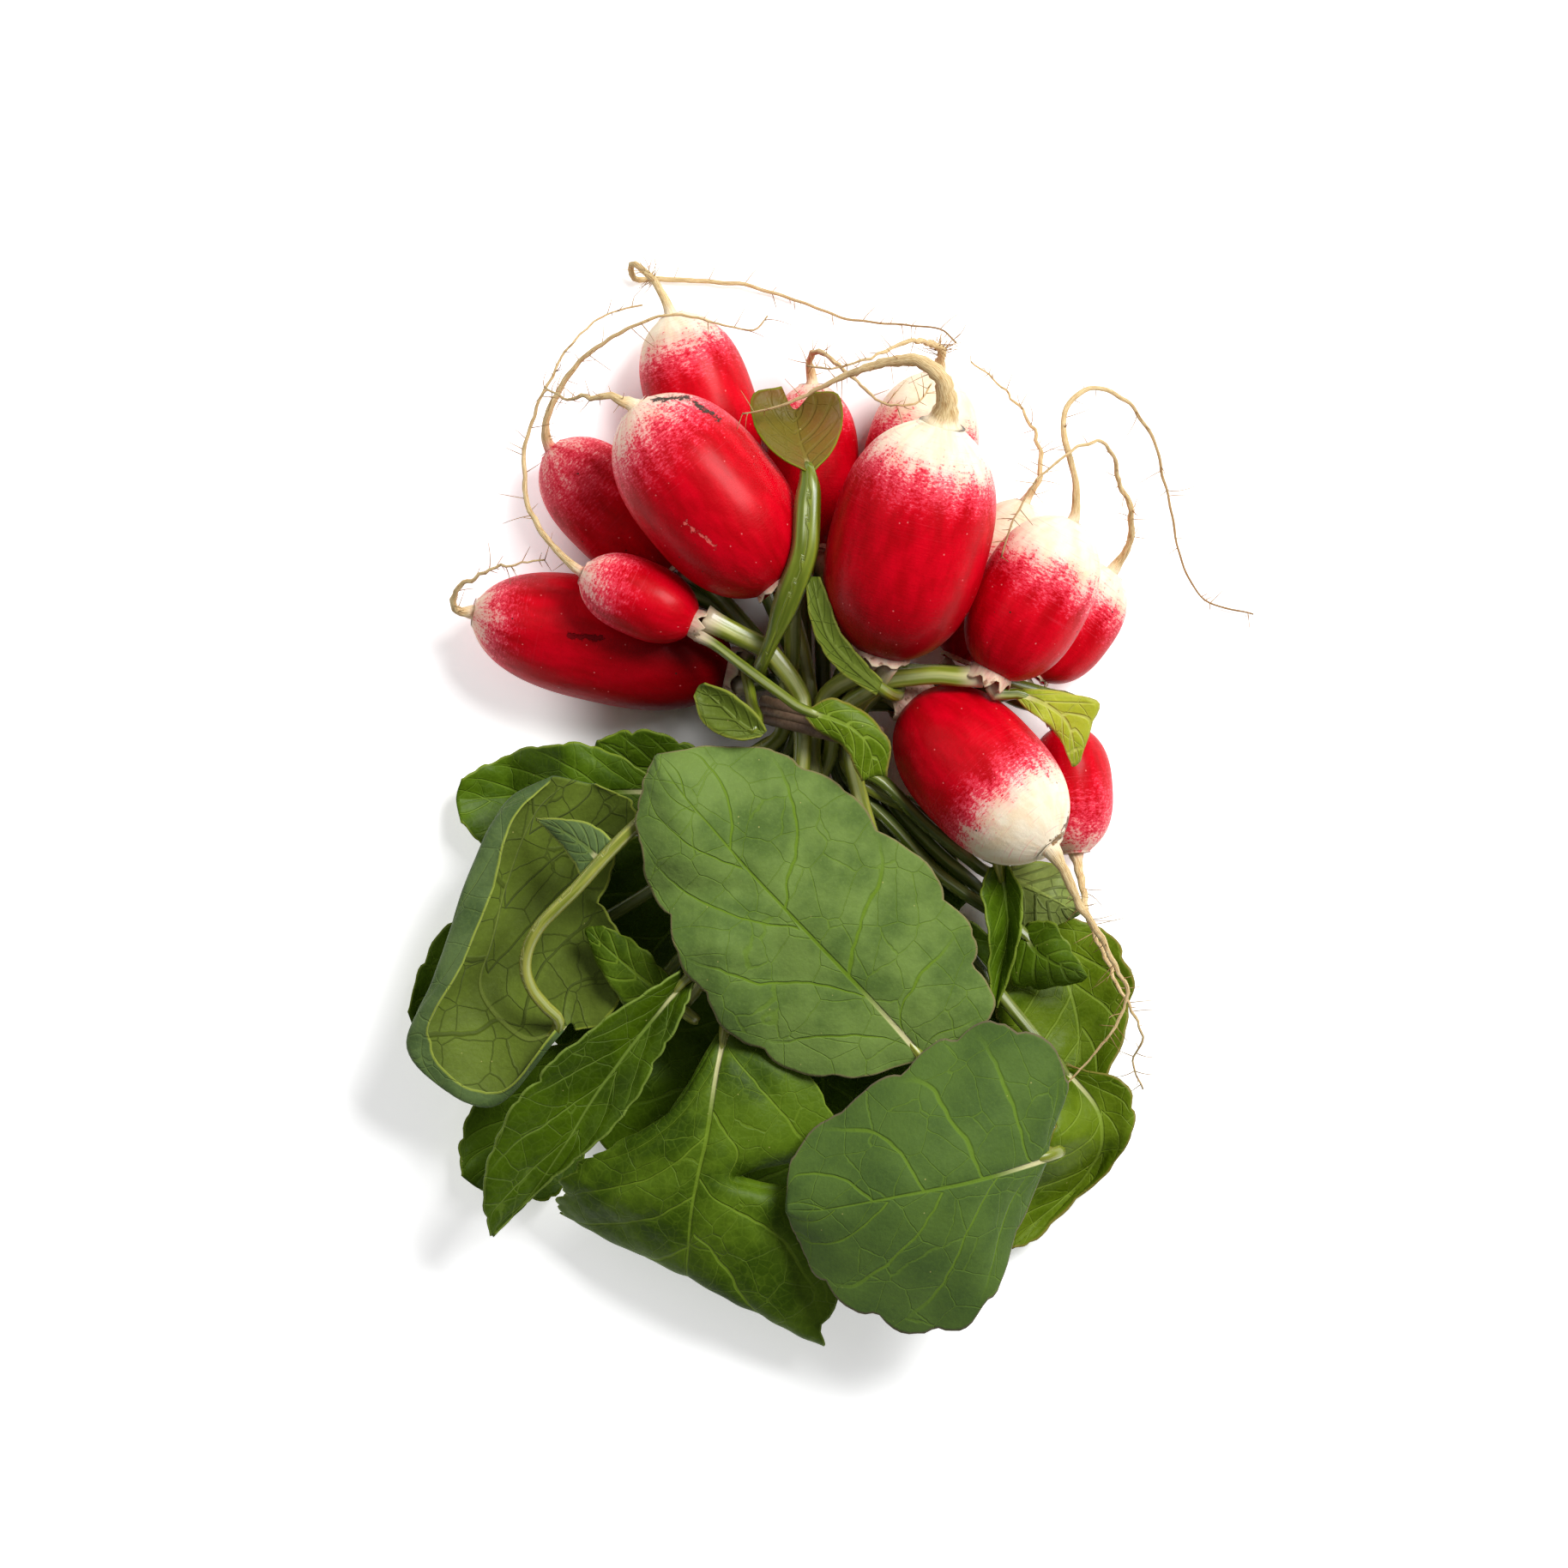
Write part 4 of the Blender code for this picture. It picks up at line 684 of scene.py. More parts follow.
class Finish:
    """A material in the making, around one Principled shader."""

    def __init__(self, name, **constants):
        self.material = bpy.data.materials.new(name)
        self.material.use_nodes = True
        self.tree = self.material.node_tree
        self.shader = self.tree.nodes["Principled BSDF"]
        for socket, value in constants.items():
            self.shader.inputs[socket.replace("_", " ")].default_value = value

    def put(self, socket, value):
        """Sets a socket to a number or a colour, or links it."""
        value = value.socket if isinstance(value, Mask) else value
        if isinstance(value, bpy.types.NodeSocket):
            self.tree.links.new(value, socket)
        elif isinstance(value, tuple) and socket.type == "RGBA":
            socket.default_value = (*value, 1)
        else:
            socket.default_value = value

    def node(self, kind, settings=None, *values, **named):
        """A node with its settings, then its sockets by order and by name."""
        node = self.tree.nodes.new(kind)
        for key, value in (settings or {}).items():
            setattr(node, key, value)
        for k, value in enumerate(values):
            if value is not None:
                self.put(node.inputs[k], value)
        for key, value in named.items():
            self.put(node.inputs[key], value)
        return node

    def attribute(self, name):
        """The three numbers that the piece's mesh holds under this name."""
        node = self.node("ShaderNodeAttribute", {"attribute_name": name})
        parts = self.node("ShaderNodeSeparateXYZ", None, node.outputs["Vector"])
        return node.outputs["Vector"], [Mask(self, socket) for socket in parts.outputs]

    def place(self):
        """Millimetres in the object's own space."""
        coordinates = self.node("ShaderNodeTexCoord").outputs["Object"]
        return self.node("ShaderNodeVectorMath", {"operation": "SCALE"}, coordinates, Scale=1 / MM).outputs[0]

    def stretched(self, vector, by):
        settings = {"operation": "MULTIPLY"}
        return self.node("ShaderNodeVectorMath", settings, vector, by).outputs[0]

    def noise(self, vector, scale, detail=3.0, roughness=0.55, distortion=0.0):
        node = self.node("ShaderNodeTexNoise", None, Vector=vector, Scale=scale, Detail=detail,
                         Roughness=roughness, Distortion=distortion)
        return Mask(self, node.outputs[0])

    def ribs(self, turn, run, count, stretch, detail):
        """Noise drawn out along a stalk or a scale, so many patches for each turn round it."""
        drawn = self.node("ShaderNodeCombineXYZ", None, turn * count, run * stretch, 0.0).outputs[0]
        return self.noise(drawn, 1.0, detail)

    def dots(self, vector, scale, size, share):
        """Round specks, in only some of the cells."""
        node = self.node("ShaderNodeTexVoronoi", None, Vector=vector, Scale=scale)
        pick = self.node("ShaderNodeSeparateColor", None, node.outputs["Color"])
        chosen = Mask(self, pick.outputs[0]).step(share + 0.01, share)
        return Mask(self, node.outputs["Distance"]).step(size, size * 0.6) * chosen

    def net(self, vector, scale):
        """Distance from the lines of a fine network."""
        settings = {"feature": "DISTANCE_TO_EDGE"}
        node = self.node("ShaderNodeTexVoronoi", settings, Vector=vector, Scale=scale)
        return Mask(self, node.outputs["Distance"])

    def off_line(self, place, start, end):
        """How far a place is, seen from above, from the line between two points, in millimetres."""
        def vector(operation, *values, **named):
            return self.node("ShaderNodeVectorMath", {"operation": operation}, *values, **named)

        way = end - start
        flat = vector("MULTIPLY", place, (1, 1, 0)).outputs[0]
        gap = vector("SUBTRACT", flat, tuple(start)).outputs[0]
        share = Mask(self, vector("DOT_PRODUCT", gap, tuple(way / way.length_squared)).outputs["Value"])
        foot = vector("SCALE", tuple(way), Scale=share.most(0.0).least(1.0)).outputs[0]
        return Mask(self, vector("LENGTH", vector("SUBTRACT", gap, foot).outputs[0]).outputs["Value"])

    def mix(self, mask, plain, other):
        """The plain colour where the mask is 0 and the other where it is 1."""
        node = self.tree.nodes.new("ShaderNodeMix")
        node.data_type = "RGBA"
        self.put(node.inputs["Factor"], mask)
        colours = [socket for socket in node.inputs if socket.type == "RGBA"]
        self.put(colours[0], plain)
        self.put(colours[1], other)
        return next(socket for socket in node.outputs if socket.type == "RGBA")

    def done(self, colour, roughness, height, depth, strength=1.0):
        """Links the colour, the roughness and the bump, whose depth is in millimetres."""
        self.put(self.shader.inputs["Base Color"], colour)
        self.put(self.shader.inputs["Roughness"], roughness)
        bump = self.node("ShaderNodeBump", None, Height=height, Distance=depth * MM, Strength=strength)
        self.put(self.shader.inputs["Normal"], bump.outputs[0])
        return self.material


def root_wood(finish, place, along):
    """Straw colour with brown patches and specks, browner towards the root's end."""
    patches = finish.noise(finish.stretched(place, (1.0, 1.0, 0.5)), 1.2, 4.0).step(0.42, 0.62)
    wood = finish.mix(patches, srgb(226, 204, 156), srgb(180, 142, 90))
    wood = finish.mix(finish.dots(place, 0.8, 0.32, 0.16) * 0.8, wood, srgb(120, 84, 48))
    return finish.mix(along.step(70.0, 130.0) * 0.7, wood, srgb(140, 100, 58))


def scarred(finish, colour):
    """The colour with the scars drawn in, and where they are."""
    place = finish.place()
    ragged = (finish.noise(place, 0.8, 5.0, 0.7) - 0.5) * 3.4
    above = Mask(finish, finish.node("ShaderNodeSeparateXYZ", None, place).outputs["Z"])
    scars = 0.0
    for start, end, lowest, reach, tint in SKIN_SCARS:
        line = finish.off_line(place, photo_point(*start) / MM, photo_point(*end) / MM) + ragged
        scar = line.step(reach, reach * 0.5) * above.step(lowest, lowest + 0.5)
        colour = finish.mix(scar, colour, srgb(*tint))
        scars = scar + scars
    return colour, scars


def skin_finish(settings):
    """Red skin that breaks up into pink specks round the cream tip, and the root beyond it."""
    finish = Finish("radish_skin_and_root", Coat_Weight=0.10, Coat_Roughness=0.24, Specular_IOR_Level=0.05,
                    Subsurface_Weight=0.06, Subsurface_Radius=(1.0, 0.3, 0.2), Subsurface_Scale=1.0 * MM)
    place, _ = finish.attribute("bulb_place")
    _, (ripe, root, along) = finish.attribute("bulb_look")
    patches = finish.noise(finish.stretched(place, (0.34, 0.34, 0.13)), 1.0, 3.0)
    rings = finish.noise(finish.stretched(place, (0.22, 0.22, 2.4)), 1.0, 2.0)
    specks = finish.noise(finish.stretched(place, (0.8, 0.8, 1.7)), 1.5, 5.0, 0.75)
    edge = ripe + (patches - 0.5) * 11.0 + (specks - 0.5) * 24.0 + (rings - 0.5) * 5.0
    clouds = finish.noise(place, 0.25, 4.0).step(0.35, 0.75)
    cream = finish.mix(clouds, tuple(settings.tip_cream), srgb(232, 208, 172))
    soft = ripe + (patches - 0.5) * 8.0 + (rings - 0.5) * 4.0
    blush = finish.mix(soft.step(-6.0, 2.5) * 0.75, cream, srgb(240, 118, 134))
    broken = finish.mix(edge.step(-2.0, 1.5) * 0.9, blush, tuple(settings.pink))
    flank = finish.mix(patches.step(0.3, 0.72), tuple(settings.red), tuple(settings.deep_red))
    # Deeper red towards the crown: partly the skin's own deeper red, partly painted shade where the crowns
    # crowd together
    flank = finish.mix(ripe.step(17.0, 40.0) * 0.8, flank, srgb(112, 0, 5))
    colour = finish.mix(edge.step(1.0, 6.0), broken, flank)
    pale = finish.dots(place, 0.62, 0.13, 0.2) * edge.step(-2.0, 3.0)
    colour = finish.mix(pale * 0.7, colour, srgb(238, 120, 120))
    streaks = finish.noise(finish.stretched(place, (0.08, 0.08, 4.0)), 1.0, 2.0).step(0.60, 0.70)
    colour = finish.mix(streaks * ripe.step(14.0, 0.0) * 0.3, colour, srgb(232, 80, 100))
    colour = finish.mix(root.step(0.1, 0.9), colour, root_wood(finish, place, along))
    soil = finish.dots(place, 0.23, 0.055, 0.45) + finish.dots(place, 0.75, 0.10, 0.02)
    colour = finish.mix(soil.least(1.0), colour, srgb(48, 34, 26))
    colour, scars = scarred(finish, colour)
    roughness = 0.40 + 0.25 * root + (specks - 0.5) * 0.25
    height = rings * 0.35 + specks * 0.5 - pale * 0.4 + finish.noise(place, 0.45, 2.0) * 0.9 - scars * 1.5
    return finish.done(colour, roughness, height, 0.14)


class Green(NamedTuple):
    """Colours of one kind of leaf, as seen on screen, how dull it is, and how strongly its fine
    net and its veins show."""

    face: tuple
    shade: tuple
    vein: tuple
    under: tuple
    rim: tuple
    roughness: float
    net: float
    veins: float = 0.9


# Each kind's face, shade, vein, under side and rim, then roughness, net and veins
GREENS = {
    "velvet": Green(
        (104, 127, 60), (78, 101, 44), (96, 124, 24), (122, 136, 78), (134, 112, 84),
        0.66, 0.15),
    "blue": Green(
        (78, 102, 42), (66, 89, 38), (96, 124, 34), (112, 128, 74), (120, 96, 84),
        0.66, 0.15),
    "dark": Green(
        (78, 102, 16), (48, 70, 2), (110, 134, 36), (112, 126, 60), (120, 140, 46),
        0.5, 0.3, 0.7),
    "narrow": Green(
        (66, 90, 4), (44, 64, 2), (112, 134, 52), (122, 140, 72), (130, 150, 66),
        0.46, 0.2, 0.7),
    "middle": Green(
        (74, 100, 12), (52, 75, 4), (106, 132, 36), (118, 132, 66), (130, 148, 50),
        0.46, 0.25, 0.55),
    "young": Green(
        (96, 117, 20), (70, 93, 2), (126, 148, 50), (120, 138, 66), (140, 120, 60),
        0.42, 0.2, 0.7),
    "cup": Green(
        (86, 106, 60), (62, 82, 42), (112, 132, 60), (94, 111, 34), (160, 172, 60),
        0.55, 0.2, 0.4),
    "olive": Green(
        (100, 88, 26), (114, 76, 34), (112, 106, 40), (140, 130, 60), (120, 134, 30),
        0.4, 0.1, 0.25),
    "seed_leaf": Green(
        (72, 96, 12), (52, 74, 4), (92, 116, 24), (96, 112, 36), (150, 156, 60),
        0.42, 0.1, 0.2),
    "lime": Green(
        (166, 170, 48), (126, 142, 30), (190, 190, 100), (176, 178, 80), (176, 170, 80),
        0.4, 0.2, 0.6),
}


def vein_masks(finish):
    """Masks of the side veins and the midrib, and the distance from the rim in millimetres."""
    _, (across, order, edge) = finish.attribute("leaf_place")
    _, (rib, share, spacing) = finish.attribute("leaf_size")
    sway = (finish.noise(finish.place(), 0.10, 2.0) - 0.5) * 0.30
    off = abs((order + sway + 0.5).fraction() - 0.5) * spacing
    side = off.step(0.34, 0.10) * abs(across).step(1.0, 0.6)
    flank = off.step(1.6, 0.3) * abs(across).step(1.0, 0.7)
    wide = 0.66 - 0.56 * share
    middle = (abs(rib) - wide).step(0.12, -0.25) * share.step(1.0, 0.9)
    return side, flank, middle, share, edge


def leaf_finish(kind, green, under):
    """One side of a leaf: veins sunk in the upper face, raised and dark-edged on the lower one."""
    face = srgb(*(green.under if under else green.face))
    shade = srgb(*(scaled(green.under, 0.86) if under else green.shade))
    velvet = kind in ("velvet", "blue", "cup")
    finish = Finish(f"leaf_{kind}_{'under' if under else 'upper'}", Sheen_Weight=0.07 if velvet else 0.0,
                    Sheen_Roughness=0.5, Specular_IOR_Level=0.10, Coat_Weight=0.0 if velvet else 0.03,
                    Coat_Roughness=0.35)
    place = finish.place()
    side, flank, middle, share, edge = vein_masks(finish)
    mottle = finish.noise(place, 0.09, 4.0)
    drift = finish.node("ShaderNodeTexNoise", None, Vector=place, Scale=0.3, Detail=2.0).outputs["Color"]
    bent = finish.node("ShaderNodeVectorMath", {"operation": "ADD"}, place, drift).outputs[0]
    loop = finish.net(bent, 0.13).step(0.022, 0.005)
    cells = finish.net(bent, 0.45)
    net = cells.step(0.075, 0.02) * green.net
    colour = finish.mix(mottle.step(0.36, 0.66), face, shade)
    grain = finish.noise(place, 1.6, 2.0).step(0.45, 0.8)
    colour = finish.mix(grain * 0.18, colour, scaled(face, 1.5))
    if under:
        dark = srgb(*scaled(green.under, 0.62))
        colour = finish.mix(flank * 0.25, colour, scaled(face, 1.2))
        faint = 0.4 if kind == "seed_leaf" else 1.0
        colour = finish.mix((net * 0.35).most(loop * 0.55).most(side * 0.6) * faint, colour, dark)
        colour = finish.mix(middle * green.veins * 0.6, colour, srgb(150, 164, 78))
    else:
        colour = finish.mix(flank * 0.22, colour, scaled(face, 1.35))
        vein = srgb(*green.vein)
        lines = (net * 0.5).most(loop * 0.5 * green.veins).most(side * green.veins)
        colour = finish.mix(lines, colour, vein)
        colour = finish.mix(middle * green.veins, colour, vein)
        colour = finish.mix(middle * share.step(0.22, 0.02), colour, srgb(206, 200, 150))
    colour = finish.mix(edge.step(0.6, 0.2) * 0.6, colour, srgb(*green.rim))
    specks = finish.dots(place, 0.5, 0.09, 0.10) + finish.dots(place, 0.16, 0.03, 0.3)
    colour = finish.mix(specks.least(1.0) * 0.5, colour, srgb(190, 180, 110))
    sunk = side.most(middle).most(loop * 0.5)
    height = (sunk * -0.8 if not under else sunk * 0.9) + cells.least(0.3) * 1.6 * green.net
    height = height + finish.noise(place, 1.1, 3.0) * 0.5
    roughness = green.roughness + (mottle - 0.5) * 0.25 + sunk * 0.05
    return finish.done(colour, roughness, height, 0.22)


def stalk_finish(name, pale, green, white):
    """A ribbed leaf stalk with a painted highlight along its top, pink-white where it leaves the crown."""
    finish = Finish(name, Coat_Weight=0.22, Coat_Roughness=0.22,
                    Subsurface_Weight=0.08, Subsurface_Scale=1.0 * MM)
    place = finish.place()
    _, (turn, run, _) = finish.attribute("stalk_place")
    ribs = finish.ribs(turn, run, 7.0, 0.05, 2.0)
    colour = finish.mix(ribs.step(0.4, 0.62), green, pale)
    # Painted highlight: a whitish stripe along the stalk's top, as strong as white says
    colour = finish.mix(abs(turn - 0.25).step(0.09, 0.03) * white, colour, srgb(214, 218, 164))
    colour = finish.mix(finish.noise(place, 0.3, 3.0).step(0.55, 0.8) * 0.5, colour, green)
    colour = finish.mix(run.step(5.0, 0.5) * 0.7, colour, srgb(226, 200, 178))
    colour = finish.mix(finish.dots(place, 0.45, 0.08, 0.2) * 0.6, colour, srgb(120, 96, 60))
    return finish.done(colour, 0.34 + (ribs - 0.5) * 0.2, ribs, 0.25)


def scale_finish():
    """Papery scales of the crown."""
    finish = Finish("crown_scale", Sheen_Weight=0.1, Subsurface_Weight=0.2, Subsurface_Scale=1.0 * MM)
    place = finish.place()
    _, (turn, run, share) = finish.attribute("stalk_place")
    lines = finish.ribs(turn, run, 30.0, 0.2, 3.0)
    colour = finish.mix(lines.step(0.35, 0.65), srgb(226, 186, 164), srgb(202, 150, 132))
    colour = finish.mix(share.step(0.35, 1.0), colour, srgb(214, 190, 158))
    colour = finish.mix(finish.noise(place, 0.8, 3.0).step(0.58, 0.72), colour, srgb(140, 96, 70))
    return finish.done(colour, 0.55, lines, 0.2)


def rubber_finish(settings):
    """Dull brown rubber, dusty in its grooves."""
    finish = Finish("band_brown_rubber", Specular_IOR_Level=0.4)
    place = finish.place()
    grain = finish.noise(place, 1.8, 4.0)
    colour = finish.mix(grain.step(0.35, 0.65), tuple(settings.rubber), srgb(94, 72, 54))
    colour = finish.mix(finish.noise(place, 0.35, 2.0).step(0.5, 0.75) * 0.35, colour, srgb(164, 142, 116))
    return finish.done(colour, 0.55 + (grain - 0.5) * 0.2, grain, 0.04)


def table_finish(settings):
    """Plain white, with a faint glow of its own: painted light that lifts its shadows."""
    finish = Finish("white_table", Specular_IOR_Level=0.2, Emission_Strength=TABLE_GLOW)
    place = finish.place()
    fleck = finish.noise(place, 0.02, 2.0)
    from_sheaf = finish.off_line(place, *(photo_point(*end) / MM for end in SHEAF_ENDS))
    glow = finish.mix(from_sheaf.step(*GLOW_REACH), (0.0, 0.0, 0.0), (1.0, 1.0, 1.0))
    finish.put(finish.shader.inputs["Emission Color"], glow)
    colour = finish.mix(fleck.step(0.3, 0.7), tuple(settings.table), scaled(settings.table, 0.99))
    return finish.done(colour, 0.7, fleck, 0.01)


def spline(points, at):
    """Points of a Catmull-Rom curve through the given ones, at 0 for the first and 1 for the last."""
    p = np.array(points, float)
    p = np.concatenate([[2 * p[0] - p[1]], p, [2 * p[-1] - p[-2]]])
    place = np.clip(np.asarray(at, float), 0, 1) * (len(p) - 3)
    k = np.minimum(place.astype(int), len(p) - 4)
    t = (place - k).reshape(-1, *[1] * (p.ndim - 1))
    a, b, c, d = p[k], p[k + 1], p[k + 2], p[k + 3]
    bend = (2 * a - 5 * b + 4 * c - d) * t**2 + (3 * b - a - 3 * c + d) * t**3
    return 0.5 * (2 * b + (c - a) * t + bend)


def run_along(points):
    """How far along a line of points each of them is."""
    return np.concatenate([[0], np.cumsum(np.linalg.norm(np.diff(points, axis=0), axis=1))])


def smooth_path(points, step):
    """Points an even distance apart on a smooth curve through the given ones."""
    p = np.array(points, float)
    gap = np.linalg.norm(np.diff(p, axis=0), axis=1)[:, None]
    slope = np.diff(p, axis=0) / gap
    turn = (slope[:-1] * gap[1:] + slope[1:] * gap[:-1]) / (gap[1:] + gap[:-1])
    slope = np.vstack([slope[:1], turn, slope[-1:]])
    t = np.linspace(0, 1, 20, endpoint=False)[:, None, None]
    rise = t * t * (3 - 2 * t)
    early, late = t * (1 - t) ** 2, t * t * (t - 1)
    line = p[:-1] + (p[1:] - p[:-1]) * rise + gap * (slope[:-1] * early + slope[1:] * late)
    line = np.vstack([np.swapaxes(line, 0, 1).reshape(-1, 3), p[-1:]])
    run = run_along(line)
    where = np.linspace(0, run[-1], max(3, int(round(run[-1] / step)) + 1))
    return np.stack([np.interp(where, run, line[:, k]) for k in range(3)], axis=1)


def bulb_share(along):
    """A bulb's radius as a share of its widest, from the crown at 0 to the tip at 1."""
    return np.sqrt(np.maximum(1 - np.abs(2 * np.asarray(along, float) - 1) ** BULB_BARREL, 0))


def blade_surface(lines, teeth, cut, wave, rows, columns):
    """Middle surface of a blade as points from base to tip and from its left edge to its right."""
    s = np.linspace(0, 1, rows + 1)
    along = np.stack([spline(line, s) for line in lines])
    grid = np.moveaxis(spline(along, np.linspace(0, 1, columns + 1)), 0, 1)
    reach = np.abs(np.linspace(-1, 1, columns + 1))
    middle = grid[:, columns // 2 : columns // 2 + 1]
    dent = cut * (1 - np.abs(np.sin(math.pi * teeth * s)) ** 0.7) * np.sin(math.pi * s) ** 0.3
    grid = grid + (middle - grid) * (dent[:, None] * reach**4)[..., None]
    amount, count, phase = wave
    ease = np.sin(math.pi * s) ** 0.5
    left_right = np.where(np.arange(columns + 1) < columns / 2, 0.0, 1.1)
    lift = amount * reach**2 * np.sin(2 * math.pi * (count * s[:, None] + phase) + left_right)
    grid[..., 2] += lift * ease[:, None]
    return grid


def leaf_surface(leaf, rows, columns):
    return blade_surface(leaf.lines, leaf.teeth, leaf.cut, leaf.wave, rows, columns)


def grid_triangles(rows, columns):
    """Triangles of a grid of points, with their normals to its upper side."""
    index = np.arange((rows + 1) * (columns + 1)).reshape(rows + 1, columns + 1)
    a, b, c, d = index[:-1, :-1], index[:-1, 1:], index[1:, 1:], index[1:, :-1]
    quads = np.stack([a, b, c, d], axis=-1).reshape(-1, 4)
    return np.vstack([quads[:, [0, 1, 2]], quads[:, [0, 2, 3]]])


class HeightField:
    """How high the heap reaches over each square millimetre of the table."""

    def __init__(self):
        self.shape = tuple(h - l + 1 for l, h in zip(FIELD_LOW, FIELD_HIGH))
        self.top = np.zeros(self.shape)
        axes = (np.arange(l, h + 1) for l, h in zip(FIELD_LOW, FIELD_HIGH))
        self.x, self.y = np.meshgrid(*axes, indexing="ij")

    def envelope(self, points, triangles, highest):
        """Highest or lowest z of the triangles over each cell, or infinite where there is none."""
        sign = 1 if highest else -1
        out = np.full(self.shape, -np.inf)
        for tri in points[triangles]:
            low = np.maximum(np.floor(tri[:, :2].min(0) - FIELD_LOW).astype(int), 0)
            high = np.ceil(tri[:, :2].max(0) - FIELD_LOW).astype(int) + 1
            span = (slice(low[0], high[0]), slice(low[1], high[1]))
            u, v = tri[1] - tri[0], tri[2] - tri[0]
            area = u[0] * v[1] - u[1] * v[0]
            if abs(area) < 1e-9:
                continue
            x, y = self.x[span] - tri[0, 0], self.y[span] - tri[0, 1]
            a = (x * v[1] - y * v[0]) / area
            b = (u[0] * y - u[1] * x) / area
            inside = (a > -0.15) & (b > -0.15) & (a + b < 1.15)
            z = np.clip(tri[0, 2] + a * u[2] + b * v[2], tri[:, 2].min(), tri[:, 2].max())
            out[span] = np.maximum(out[span], np.where(inside, sign * z, -np.inf))
        return sign * out

    def sample(self, field, x, y):
        """The field between its cells."""
        fx = np.clip(np.asarray(x) - FIELD_LOW[0], 0, self.shape[0] - 1.001)
        fy = np.clip(np.asarray(y) - FIELD_LOW[1], 0, self.shape[1] - 1.001)
        ix, iy = fx.astype(int), fy.astype(int)
        ax, ay = fx - ix, fy - iy
        near = field[ix, iy] * (1 - ax) + field[ix + 1, iy] * ax
        far = field[ix, iy + 1] * (1 - ax) + field[ix + 1, iy + 1] * ax
        return near * (1 - ay) + far * ay

    def rise(self, points, triangles):
        """How far each place has to rise for the sheet to clear the heap, smoothly."""
        low = self.envelope(points, triangles, False)
        need = np.where(np.isfinite(low), np.maximum(self.top + BLADE_CLEARANCE - low, 0), 0)
        reach = range(-FIELD_REACH, FIELD_REACH + 1)
        blur = range(-FIELD_BLUR, FIELD_BLUR + 1)
        for axis in (0, 1):
            need = np.max([np.roll(need, k, axis) for k in reach], axis=0)
        for axis in (0, 1):
            need = np.mean([np.roll(need, k, axis) for k in blur], axis=0)
        return need

    def add_sheet(self, points, triangles):
        """Raises the heap to the top of a blade."""
        high = self.envelope(points, triangles, True) + BLADE_THICKNESS / 2
        self.top = np.where(np.isfinite(high), np.maximum(self.top, high), self.top)

    def add_rod(self, points, radius):
        """Raises the heap to the top of a stalk."""
        for x, y, z in points:
            near = (self.x - x) ** 2 + (self.y - y) ** 2 < (radius + 0.7) ** 2
            self.top = np.where(near, np.maximum(self.top, z + radius), self.top)


def sheaf_top(x, y):
    """Top of the stalks behind the band, over which the high blades lie."""
    back = np.maximum(-np.asarray(y, float), 0)
    across = (np.asarray(x, float) - BAND_CENTRE[0] * np.exp(-back / 30)) / (15 + 0.5 * back)
    height = 31.5 - 0.13 * back - 9 * across**2
    return np.where((np.asarray(y) < 5) & (back < 78) & (np.abs(across) < 1.15), height, 0)


def bunch_shift():
    """From the tables' millimetres to the frame: the band's box tells where the band stands."""
    low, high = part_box("elastic_band")
    middle = (np.array(low) + np.array(high)) / 2
    return np.array([middle[0] - BAND_CENTRE[0] * MM, middle[1] - BAND_CENTRE[1] * MM, 0.0])


SHIFT = bunch_shift()


def photo_point(across, down):
    """The point of the table under a pixel of the photograph."""
    x = (across - BAND_PIXEL[0]) / PIXELS_PER_MM
    y = (BAND_PIXEL[1] - down) / PIXELS_PER_MM
    return Vector((x * MM + SHIFT[0], y * MM + SHIFT[1], 0))


def set_numbers(mesh, name, values):
    """Keeps three numbers for each vertex, for the finishes to read."""
    attribute = mesh.attributes.new(name, "FLOAT_VECTOR", "POINT")
    attribute.data.foreach_set("vector", np.asarray(values, np.float32).reshape(-1))


def sheet_piece(name, points, numbers):
    """A grid primitive whose vertices are moved to the given points, in millimetres."""
    rows, columns = points.shape[0] - 1, points.shape[1] - 1
    bpy.ops.object.select_all(action="DESELECT")
    bpy.ops.mesh.primitive_grid_add(x_subdivisions=columns, y_subdivisions=rows, size=1)
    piece = bpy.context.object
    piece.name = piece.data.name = name
    piece.data.vertices.foreach_set("co", (points * MM + SHIFT).reshape(-1))
    for key, values in numbers.items():
        set_numbers(piece.data, key, values)
    piece.data.update()
    return piece


def round_piece(name, points, numbers):
    """A sheet bent round so that its first column meets its last, with its ends closed."""
    piece = sheet_piece(name, points, numbers)
    bpy.ops.object.mode_set(mode="EDIT")
    bpy.ops.mesh.select_all(action="SELECT")
    bpy.ops.mesh.remove_doubles(threshold=2e-6)
    bpy.ops.mesh.normals_make_consistent(inside=False)
    bpy.ops.object.mode_set(mode="OBJECT")
    return piece


def joined(pieces):
    """All the pieces as one object, named like the first."""
    bpy.ops.object.select_all(action="DESELECT")
    for piece in pieces:
        piece.select_set(True)
    bpy.context.view_layer.objects.active = pieces[0]
    if len(pieces) > 1:
        bpy.ops.object.join()
    return pieces[0]


def smoothed(piece):
    """The piece, shaded smooth."""
    bpy.ops.object.select_all(action="DESELECT")
    piece.select_set(True)
    bpy.context.view_layer.objects.active = piece
    bpy.ops.object.shade_smooth()
    return piece


def stand_for(piece, node):
    """Lets the piece take the place of its node in the bunch."""
    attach(piece, "root")
    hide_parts(node)


def path_frames(path):
    """Unit vectors aside from a path and up, turned as little as the path allows."""
    ahead = np.gradient(path, axis=0)
    ahead /= np.linalg.norm(ahead, axis=1)[:, None]
    ups = np.empty_like(path)
    up = np.array((0.0, 0.0, 1.0))
    for k, way in enumerate(ahead):
        up = up - (up @ way) * way
        size = np.linalg.norm(up)
        up = up / size if size > 1e-6 else np.cross(way, (1.0, 0.0, 0.0))
        ups[k] = up
    return np.cross(ahead, ups), ups


